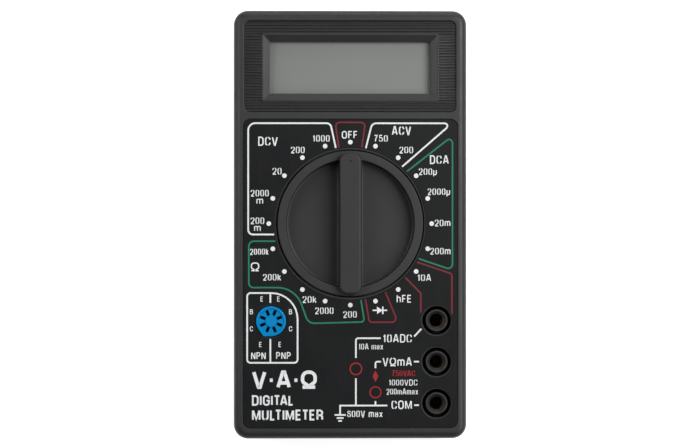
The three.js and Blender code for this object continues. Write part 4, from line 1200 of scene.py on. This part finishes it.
def contact_strip(radius, angle):
    """A bent bronze strip, each arm split into two fingers."""
    outline = strip_outline(rounded_path(CONTACT_LINE, steps=5), 0.28)
    strip = loft([[(x, y, z) for x, z in outline] for y in (-0.8, 0.8)])
    cut(strip, *[slab(3.4, 0.26, 0.12, s * 3.3, 0, -4.5, 1, 3) for s in (-1, 1)])
    turn = Matrix.Rotation(math.radians(angle), 4, "Z") @ Matrix.Translation((radius, 0, 0))
    strip.data.transform(Matrix.Translation((0, DIAL_Y, DIAL_BOTTOM)) @ turn)
    return strip


for i, radius in enumerate(CONTACT_RADII * 2):
    strip = contact_strip(radius, 30 + 60 * i)
    finish_piece(strip, f"contact_strip_{i + 1}", BRONZE, f"contact_spring_{i + 1}", "selector")

BALL_RADIUS, BALL_Z, SPRING_LOW = 1.25, 20.5, 15.65
SPRING_LENGTH, SPRING_TURNS, SPRING_RADIUS, SPRING_WIRE = 3.4, 5, 0.95, 0.15
END_TURN, END_RISE = 0.14, 0.22  # the share of the turns at each end that lie flat, and how much the ends rise in all


def ball(x, y, z, radius):
    """A ground ball."""
    profile = [(max(reach, 0.0), height) for reach, height in arc(0, z, radius, -90, 90, 30)]
    return lathe(profile, x, y, 48)


def detent_coil(x):
    """A compression spring whose end turns lie flat."""
    line = []
    steps = SPRING_TURNS * 20
    for i in range(steps + 1):
        share = i / steps
        rise = min(max((share - END_TURN) / (1 - 2 * END_TURN), 0.0), 1.0)
        ends = min(share, END_TURN) + max(share - 1 + END_TURN, 0.0)
        z = SPRING_LOW + SPRING_WIRE + END_RISE * ends / (2 * END_TURN)
        z += rise * (SPRING_LENGTH - 2 * SPRING_WIRE - END_RISE)
        a = 2 * math.pi * SPRING_TURNS * share
        line.append((x + SPRING_RADIUS * math.cos(a), DIAL_Y + SPRING_RADIUS * math.sin(a), z))
    return wire(line, SPRING_WIRE, 8)


for i, (x, word) in enumerate(((-BALL_X, "left"), (BALL_X, "right"))):
    finish_piece(ball(x, DIAL_Y, BALL_Z, BALL_RADIUS), f"{word}_detent_ball", BALL_STEEL,
                 f"detent_ball_{i + 1}", f"detent_ball_{word}")
    coil = finish_piece(detent_coil(x), f"{word}_detent_coil", STEEL, f"detent_spring_{i + 1}", "selector")
    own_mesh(coil)

# ---- circuit board

BOARD_OUTLINE = [(-31, -33.6, 0.6), (21.2, -33.6, 0.6), (21.2, -60.4, 0.6), (31, -60.4, 0.6), (31, 59.2, 0.6),
                 (-31, 59.2, 0.6)]
RING_RADII = (5.4, 9.6, 12.2, 13.2, 16.4, 20.0)
RING_WIDTH = 0.8


def printed_board():
    """The board with its corners radiused and every hole drilled."""
    board = prism(rounded_path(BOARD_OUTLINE, True), BOARD_LOW, BOARD_HIGH)
    holes = [(0, DIAL_Y, 2.1)] + [(JACK_X, y, 2.75) for y in JACK_YS]
    holes += [(x, y, 1.1) for x, y in BOARD_SCREWS] + [(x, y, 3.0) for x, y in CASE_SCREWS]
    return cut(board, *[prism(circle(x, y, radius, 40), 0, 30) for x, y, radius in holes])


def contact_rings():
    """Gold-plated ring segments that the sliding contacts run on, one segment for each station."""
    parts = []
    for radius in RING_RADII:
        gap = math.degrees(0.5 / radius)
        for i in range(STATIONS):
            start = i * 360 / STATIONS + gap
            line = arc(0, DIAL_Y, radius, start, start + 360 / STATIONS - 2 * gap, 4)
            parts.append(prism(strip_outline(line, RING_WIDTH), BOARD_HIGH + 0.005, BOARD_HIGH + 0.04))
    return gather(parts)


finish_piece(printed_board(), "printed_board", board_material(), "circuit_board")
finish_piece(contact_rings(), "contact_rings", GOLD)


CHIP_Y = 46.0


def chip_blob():
    """Black epoxy poured over the chip: a low dome with a slightly wavy rim."""
    levels = [(8.2, 0.0), (8.15, 0.12), (7.8, 0.42), (7.0, 0.78), (5.8, 1.08), (4.4, 1.32), (2.8, 1.52), (1.2, 1.64),
              (0.3, 1.68)]
    turns = full_turn(64)
    waves = [0.985 + 0.009 * math.sin(3 * a + 1) + 0.006 * math.sin(7 * a) for a in turns]
    return loft([[(radius * wave * math.cos(a), CHIP_Y + radius * wave * math.sin(a), BOARD_BACK - drop)
                  for wave, a in zip(waves, turns)] for radius, drop in levels])


finish_piece(chip_blob(), "chip_blob", EPOXY, "chip_dome")

SHUNT_X = 30.0
SHUNT_ROUTE = [(SHUNT_X, -33.0, BOARD_BACK), (SHUNT_X, -33.1, 8.6), (SHUNT_X, -35.5, 5.6), (SHUNT_X, -42, 5),
               (SHUNT_X, -45.3, 5.6), (SHUNT_X, -47.7, 8.6), (SHUNT_X, -47.8, BOARD_BACK)]
finish_piece(wire(curve_through(SHUNT_ROUTE), 0.7, 16), "shunt_bar", COPPER, "shunt_wire")

# ---- leaded components

leads, joints, pads = [], [], []


def lead(points):
    """A tinned lead that ends at the board, and the solder round its foot."""
    leads.append(wire(points, 0.24, 10))
    x, y, _ = points[-1]
    pads.append((x, y))
    cone = [(0.26, -0.55), (0.34, -0.4), (0.5, -0.16), (0.8, 0.0), (0.26, 0.0)]
    joints.append(lathe(raised(cone, BOARD_BACK), x, y, 20))


def axial_body(node, radius, half):
    """A resistor or diode body: end bulges and a slimmer middle; its leads bend up to the board."""
    centre = middle(node)
    z = BOARD_BACK - radius - 0.6
    bend = [(-0.2, z), (1.1, z), (1.52, z + 0.16), (1.6, z + 0.6), (1.6, BOARD_BACK)]
    for s in (-1, 1):
        lead([(centre.x + s * (half + out), centre.y, height) for out, height in bend])
    waist = radius * (0.9 if radius < 1.2 else 1.0)
    shoulders = [(0, -half), (radius * 0.55, -half), (radius * 0.85, -half + 0.12), (radius, -half + 0.45),
                 (radius, -half + 1.15), (waist, -half + 1.6)]
    profile = shoulders + [(r, -x) for r, x in shoulders[::-1]]
    return along_x(lathe(profile, 0, 0, 32), centre.x, centre.y, z), centre


BROWN, BLACK, RED, ORANGE, YELLOW, VIOLET, GREY_BAND, GOLD_BAND = (
    (0.10, 0.035, 0.012), (0.01, 0.01, 0.01), (0.45, 0.015, 0.012), (0.65, 0.14, 0.01), (0.75, 0.5, 0.02),
    (0.18, 0.05, 0.30), (0.42, 0.42, 0.43), (0.45, 0.28, 0.06))
RESISTOR_CODES = [(YELLOW, VIOLET, RED), (BROWN, BLACK, ORANGE), (BROWN, BLACK, YELLOW), (RED, RED, BROWN),
                  (ORANGE, ORANGE, RED), (BROWN, RED, ORANGE), (VIOLET, BROWN, BLACK), (RED, VIOLET, YELLOW)]
RESISTOR_RADIUS, RESISTOR_HALF, RESISTOR_BLUE = 1.15, 3.15, (0.16, 0.42, 0.52)
BAND_WIDTH, BAND_GAP = 0.55, 0.75
for i, code in enumerate(RESISTOR_CODES):
    node = f"resistor_{i + 1}"
    body, centre = axial_body(node, RESISTOR_RADIUS, RESISTOR_HALF)
    bands = [(BAND_WIDTH, None)]
    for colour in (*code, GOLD_BAND):
        bands += [(BAND_WIDTH, colour), (BAND_GAP, None)]
    coat = banded(f"{node}_coat", RESISTOR_BLUE, centre.x - RESISTOR_HALF, bands)
    finish_piece(body, f"{node}_body", coat, node)

DIODE_RADIUS, DIODE_HALF, DIODE_BLACK = 1.3, 2.5, (0.012, 0.012, 0.013)
diode, centre = axial_body("rectifier_diode", DIODE_RADIUS, DIODE_HALF)
coat = banded("diode_coat", DIODE_BLACK, centre.x - DIODE_HALF, [(3.6, None), (0.8, GREY_BAND), (0.6, None)])
finish_piece(diode, "diode_body", coat, "rectifier_diode")


def dipped_capacitor(node):
    """A film capacitor dipped in lacquer: a soft pillow on its two leads."""
    centre = middle(node)
    low, high = BOARD_BACK - 8.2, BOARD_BACK - 0.8
    body = rounded_block(block_outline(8.0, 3.4, 1.6, centre.x, centre.y, 8), low, high, 1.25, 6)
    for s in (-1, 1):
        x = centre.x + s * 2.5
        lead([(x, centre.y, high - 0.3), (x, centre.y, high), (x, centre.y, BOARD_BACK)])
    return body


for i in range(4):
    node = f"film_capacitor_{i + 1}"
    finish_piece(dipped_capacitor(node), f"capacitor_{i + 1}_body", CAP_GREEN, node)


CAN_RADIUS = 2.4


def transistor_body(x, y):
    """A moulded half-round package with three leads."""
    def outline(inwards):
        flat = CAN_RADIUS * math.cos(math.radians(36)) - inwards
        spread = math.degrees(math.acos(flat / (CAN_RADIUS - inwards)))
        return arc(x, y, CAN_RADIUS - inwards, spread, 360 - spread, 28)

    for step in (-1.3, 0, 1.3):
        lead([(x, y + step, BOARD_BACK - down) for down in (2.4, 1.5, 0.0)])
    return rounded_block(outline, BOARD_BACK - 6.6, BOARD_BACK - 2, 0.18, 3)


finish_piece(transistor_body(x=24, y=22), "transistor_body", PACKAGE, "transistor")

TRIM_X, TRIM_Y = 16.0, 34.0


def trimmer_housing():
    housing = rounded_block(block_outline(6.6, 6.6, 0.6, TRIM_X, TRIM_Y), BOARD_BACK - 3.8, BOARD_BACK, 0.2)
    bowl = [(0, -5), (2.55, -5), (2.55, -3.75), (2.3, -3.5), (2.3, -2), (0, -2)]
    return cut(housing, lathe(raised(bowl, BOARD_BACK), TRIM_X, TRIM_Y, 40))


def trimmer_dial():
    """The slotted adjuster, with a notch that points at its setting."""
    low, high = BOARD_BACK - 4.1, BOARD_BACK - 2.2
    dial = lathe([(0, low), (1.95, low), (2.1, low + 0.15), (2.1, high), (0, high)], TRIM_X, TRIM_Y, 40)
    cross = prism(cross_outline(1.6, 0.3, TRIM_X, TRIM_Y), low - 1, low + 0.8)
    pointer = [(TRIM_X + x, TRIM_Y + y) for x, y in ((-0.35, 2.3), (0, 1.75), (0.35, 2.3))]
    return cut(dial, cross, prism(pointer, low - 1, low + 0.4))


finish_piece(trimmer_housing(), "trimmer_housing", TRIM_BLUE, "trimmer_base")
finish_piece(trimmer_dial(), "trimmer_dial", TRIM_WHITE, "trimmer_rotor", "trimmer")
TRACK_WIDTH, TRACK_TOP, TRACK_PITCH, CHIP_REACH = 0.55, 36.0, 0.9, 6.0
TRACK_STEP = 0.0006  # how much lower each track's face lies, so that no two share a plane where they cross


def board_tracks(places):
    """Masked copper tracks on the back of the board: from each pad into a lane, up it, then over to the chip."""
    parts = []
    for i, (x, y) in enumerate(places):
        side = 1 if x > 0 else -1
        lane = x + TRACK_PITCH * ((i // 2) % 5 - 2) * side
        top = TRACK_TOP - TRACK_PITCH * (i % 3)
        chip_x = max(-CHIP_REACH, min(CHIP_REACH, lane * 0.42))
        bend = y + abs(lane - x)
        if y > TRACK_TOP - 4:
            lane, top, bend = x, TRACK_TOP + 2.5 + abs(x) * 0.16, y + 1
        fan = [(lane, max(bend + 0.5, top - abs(lane - chip_x)), 0.6), (chip_x, top, 0.6), (chip_x, CHIP_Y - 2)]
        outline = strip_outline(rounded_path([(x, y), (lane, bend, 0.4)] + fan, steps=3), TRACK_WIDTH)
        parts.append(prism(outline, BOARD_LOW - 0.03 - i * TRACK_STEP, BOARD_LOW - 0.004))
    return gather(parts)


TRACK_MASK = glossy("track_mask", (0.020, 0.20, 0.066), 0.3, grain=900.0, relief=0.3)
finish_piece(board_tracks(pads), "board_tracks", TRACK_MASK)
finish_piece(gather(leads), "component_leads", TIN)
finish_piece(gather(joints), "solder_joints", TIN)

# ---- fuse

FUSE_X, FUSE_Y, FUSE_Z, FUSE_HALF, FUSE_RADIUS, FUSE_CAP = -3.0, -29.2, 8.2, 10.0, 2.6, 4.6


def fuse_cap(side):
    """A drawn metal cap: closed end with a rounded rim, and a thin wall."""
    bore = FUSE_RADIUS - 0.35
    profile = [(0, 0), (bore, 0), (FUSE_RADIUS - 0.1, 0.08), (FUSE_RADIUS, 0.35), (FUSE_RADIUS, FUSE_CAP),
               (bore, FUSE_CAP), (bore, 0.5), (0, 0.5)]
    cap = lathe([(radius, side * (FUSE_HALF - x)) for radius, x in profile], 0, 0, 48)
    return along_x(cap, FUSE_X, FUSE_Y, FUSE_Z)


def fuse_clip(side):
    """A spring clip: a C round the cap, flared at its open mouth, with a foot on the board."""
    middle_x = FUSE_X + side * (FUSE_HALF - 2.2)
    grip = arc(0, 0, FUSE_RADIUS + 0.3, -46, 226, 40)
    first, last = Vector(grip[0]), Vector(grip[-1])
    line = [tuple(first + Vector((0.35, -0.75)))] + grip + [tuple(last + Vector((-0.35, -0.75)))]
    outline = strip_outline(line, 0.34)
    clip = loft([[(middle_x + x, FUSE_Y + y, FUSE_Z + z) for y, z in outline] for x in (-1.7, 1.7)])
    foot = slab(3.4, 2.4, 0.3, middle_x, FUSE_Y, FUSE_Z + FUSE_RADIUS + 0.3, BOARD_BACK, 3)
    return merge(clip, foot)


glass = lathe([(1.6, -9.4), (2.05, -9.4), (2.15, -9.3), (2.15, 9.3), (2.05, 9.4), (1.6, 9.4)], 0, 0, 40)
finish_piece(along_x(glass, FUSE_X, FUSE_Y, FUSE_Z), "fuse_glass", GLASS, "fuse_tube")
element = [(FUSE_X + x, FUSE_Y, FUSE_Z + 0.1 * math.sin(x)) for x in [-9.2 + 18.4 * i / 40 for i in range(41)]]
finish_piece(wire(element, 0.09, 8), "fuse_wire", TIN, "fuse_element")
for i, side in enumerate((-1, 1)):
    finish_piece(fuse_cap(side), f"fuse_end_{i + 1}", STEEL, f"fuse_cap_{i + 1}")
    finish_piece(fuse_clip(side), f"fuse_holder_{i + 1}", BRASS, f"fuse_clip_{i + 1}")

# ---- battery and its leads

BATTERY_X, BATTERY_LENGTH, BATTERY_Y, BATTERY_WIDTH, BATTERY_THICK = -30.8, 45.7, -47.4, 26.2, 17.5
BATTERY_Z = 2.2 + BATTERY_THICK / 2
POLE_X = BATTERY_X + BATTERY_LENGTH
STUD_Y, CROWN_Y = BATTERY_Y - 6.35, BATTERY_Y + 6.35


def battery_can():
    """The jacketed can with crimped rims at both ends."""
    rims = [(0.9, 0.0), (0.35, 0.02), (0.08, 0.25), (0.0, 0.6), (0.0, 1.1), (0.18, 1.3), (0.18, 1.5), (0.0, 1.75)]
    ends = rims + [(inwards, BATTERY_LENGTH - x) for inwards, x in rims[::-1]]
    can = stack(block_outline(BATTERY_THICK, BATTERY_WIDTH, 2.0), ends)
    return along_x(can, BATTERY_X, BATTERY_Y, BATTERY_Z)


def battery_poles():
    """The round stud and the six-petalled crown."""
    stud = [(0, 0.05), (2.8, 0.05), (2.8, 0.3), (2.55, 0.6), (2.55, 1.6), (2.8, 2.1), (2.6, 2.6), (0, 2.6)]
    crown = loft([
        [(radius * (scale + 0.07 * math.cos(6 * a)) * math.cos(a),
          radius * (scale + 0.07 * math.cos(6 * a)) * math.sin(a), z) for a in full_turn(72)]
        for radius, scale, z in ((3.5, 0.93, 0.05), (3.5, 0.9, 0.5), (3.4, 0.9, 1.6), (3.6, 0.97, 2.6))
    ])
    cut(crown, peg(2.7, 0.3, 4, segments=40))
    return gather([along_x(lathe(stud, 0, 0, 40), POLE_X, STUD_Y, BATTERY_Z),
                   along_x(crown, POLE_X, CROWN_Y, BATTERY_Z)])


jacket = banded("battery_jacket", (0.035, 0.05, 0.065), BATTERY_X, [(41.5, None), (1.6, (0.4, 0.41, 0.42))], 0.3)
finish_piece(battery_can(), "battery_can", jacket, "battery")
finish_piece(battery_poles(), "battery_poles", STEEL)


SNAP_LOW, SNAP_HIGH, SNAP_LENGTH = POLE_X + 2.8, POLE_X + 4.8, 24.8
SNAP_EDGE = BATTERY_Y + SNAP_LENGTH / 2
LEAD_RADIUS, LEAD_END_Y = 0.5, -24.0
SUPPLY_LEADS = (("red", "positive", RED_WIRE, 10.0, 18.0), ("black", "negative", BLACK_WIRE, 7.0, 14.5))


def snap_body():
    """The snap's moulded plate with its two contacts' housings, and holes for the leads."""
    root, face = SNAP_LOW + 0.3, POLE_X + 0.4
    outline_at = block_outline(11.2, SNAP_LENGTH, 2.5)
    plate = along_x(rounded_block(outline_at, SNAP_LOW, SNAP_HIGH, 0.5), 0, BATTERY_Y, BATTERY_Z)
    cup = lathe([(3.0, face), (3.8, face), (3.8, root), (3.0, root)], 0, 0, 40)
    plug = lathe([(0, face), (2.2, face), (2.4, face + 0.3), (2.4, root), (0, root)], 0, 0, 32)
    merge(plate, along_x(cup, 0, STUD_Y, BATTERY_Z), along_x(plug, 0, CROWN_Y, BATTERY_Z))
    x = SNAP_HIGH - 1
    return cut(plate, *[wire([(x, SNAP_EDGE - 1.5, z), (x, SNAP_EDGE + 1.5, z)], 0.7, 16)
                        for _, _, _, z, _ in SUPPLY_LEADS])


def supply_lead(z, end_x):
    """A lead from the snap's edge at height z, over to the board at (end_x, LEAD_END_Y)."""
    x, low = SNAP_HIGH - 1, z - 1.5
    return wire(curve_through([
        (x, SNAP_EDGE - 1.3, z), (x, SNAP_EDGE + 0.6, z), (x - 0.4, SNAP_EDGE + 4, low),
        ((x + end_x) / 2, (SNAP_EDGE + LEAD_END_Y) / 2 + 3.5, low - 0.5), (end_x + 0.6, LEAD_END_Y + 0.8, low + 1),
        (end_x, LEAD_END_Y, BOARD_BACK - 1.6), (end_x, LEAD_END_Y, BOARD_BACK)]), LEAD_RADIUS, 14)


finish_piece(snap_body(), "snap_body", SNAP, "battery_snap")
for colour, pole, material, z, end_x in SUPPLY_LEADS:
    finish_piece(supply_lead(z, end_x), f"{colour}_supply_lead", material, f"{pole}_lead")

# ---- scene: floor, light, camera


FLOOR_GLOW = 0.8


def floor_material():
    glow = {"Emission_Color": (1.0, 1.0, 1.0), "Emission_Strength": FLOOR_GLOW}
    paint = Paint("studio_floor", Specular_IOR_Level=0.1, **glow)
    cloud = paint.noise(3.0, 2.0)
    return paint.finish(
        Base_Color=paint.ramp(cloud, [(0.3, (0.55, 0.55, 0.55)), (0.7, (0.57, 0.57, 0.57))]),
        Roughness=paint.range(cloud, 0.7, 0.85))


FLOOR_HALF, FLOOR_Z = 4.0, -0.00005
floor = bpy.data.meshes.new("studio_floor")
corners = [(x * FLOOR_HALF, y * FLOOR_HALF, 0) for x, y in ((-1, -1), (1, -1), (1, 1), (-1, 1))]
floor.from_pydata(corners, [], [(0, 1, 2, 3)])
floor.materials.append(floor_material())
floor_object = add_object("studio_floor", floor)
floor_object.location.z = FLOOR_Z

LIGHT_AIM = Vector((0, 0, CASE_DEPTH / 2 * MM))


def softbox(name, place, size, power):
    lamp = bpy.data.lights.new(name, "AREA")
    lamp.shape = "RECTANGLE"
    lamp.size, lamp.size_y = size
    lamp.energy = power
    obj = add_object(name, lamp)
    obj.location = place
    obj.rotation_euler = (LIGHT_AIM - Vector(place)).to_track_quat("-Z", "Y").to_euler()


softbox("right_light", (0.33, 0.15, 0.5), (0.15, 0.45), 3.4)
softbox("left_light", (-0.40, 0.14, 0.42), (0.22, 0.45), 1.85)
softbox("top_light", (0.06, 0.6, 0.27), (0.5, 0.2), 1.7)
softbox("side_light", (0.38, -0.2, 0.42), (0.08, 0.26), 1.2)

world = bpy.data.worlds.new("studio")
world.use_nodes = True
background = world.node_tree.nodes["Background"]
background.inputs["Color"].default_value = (1.0, 1.0, 1.0, 1.0)
background.inputs["Strength"].default_value = 0.08
bpy.context.scene.world = world
bpy.context.scene.view_settings.view_transform = "Standard"

FRAME_SPAN = 0.2057  # how much of the front face's plane the picture is wide
LENS, SENSOR = 135.0, 36.0
AIM = Vector((-0.0001, 0.00018, CASE_DEPTH * MM))
TILT = math.radians(1.35)
camera = bpy.data.cameras.new("camera")
camera.lens = LENS
camera.sensor_width = SENSOR
camera.clip_start, camera.clip_end = 0.01, 20.0
camera_object = add_object("camera", camera)
camera_object.location = AIM + Vector((-math.sin(TILT), 0.0, math.cos(TILT))) * FRAME_SPAN * LENS / SENSOR
camera_object.rotation_euler = (0.0, -TILT, 0.0)
bpy.context.scene.camera = camera_object
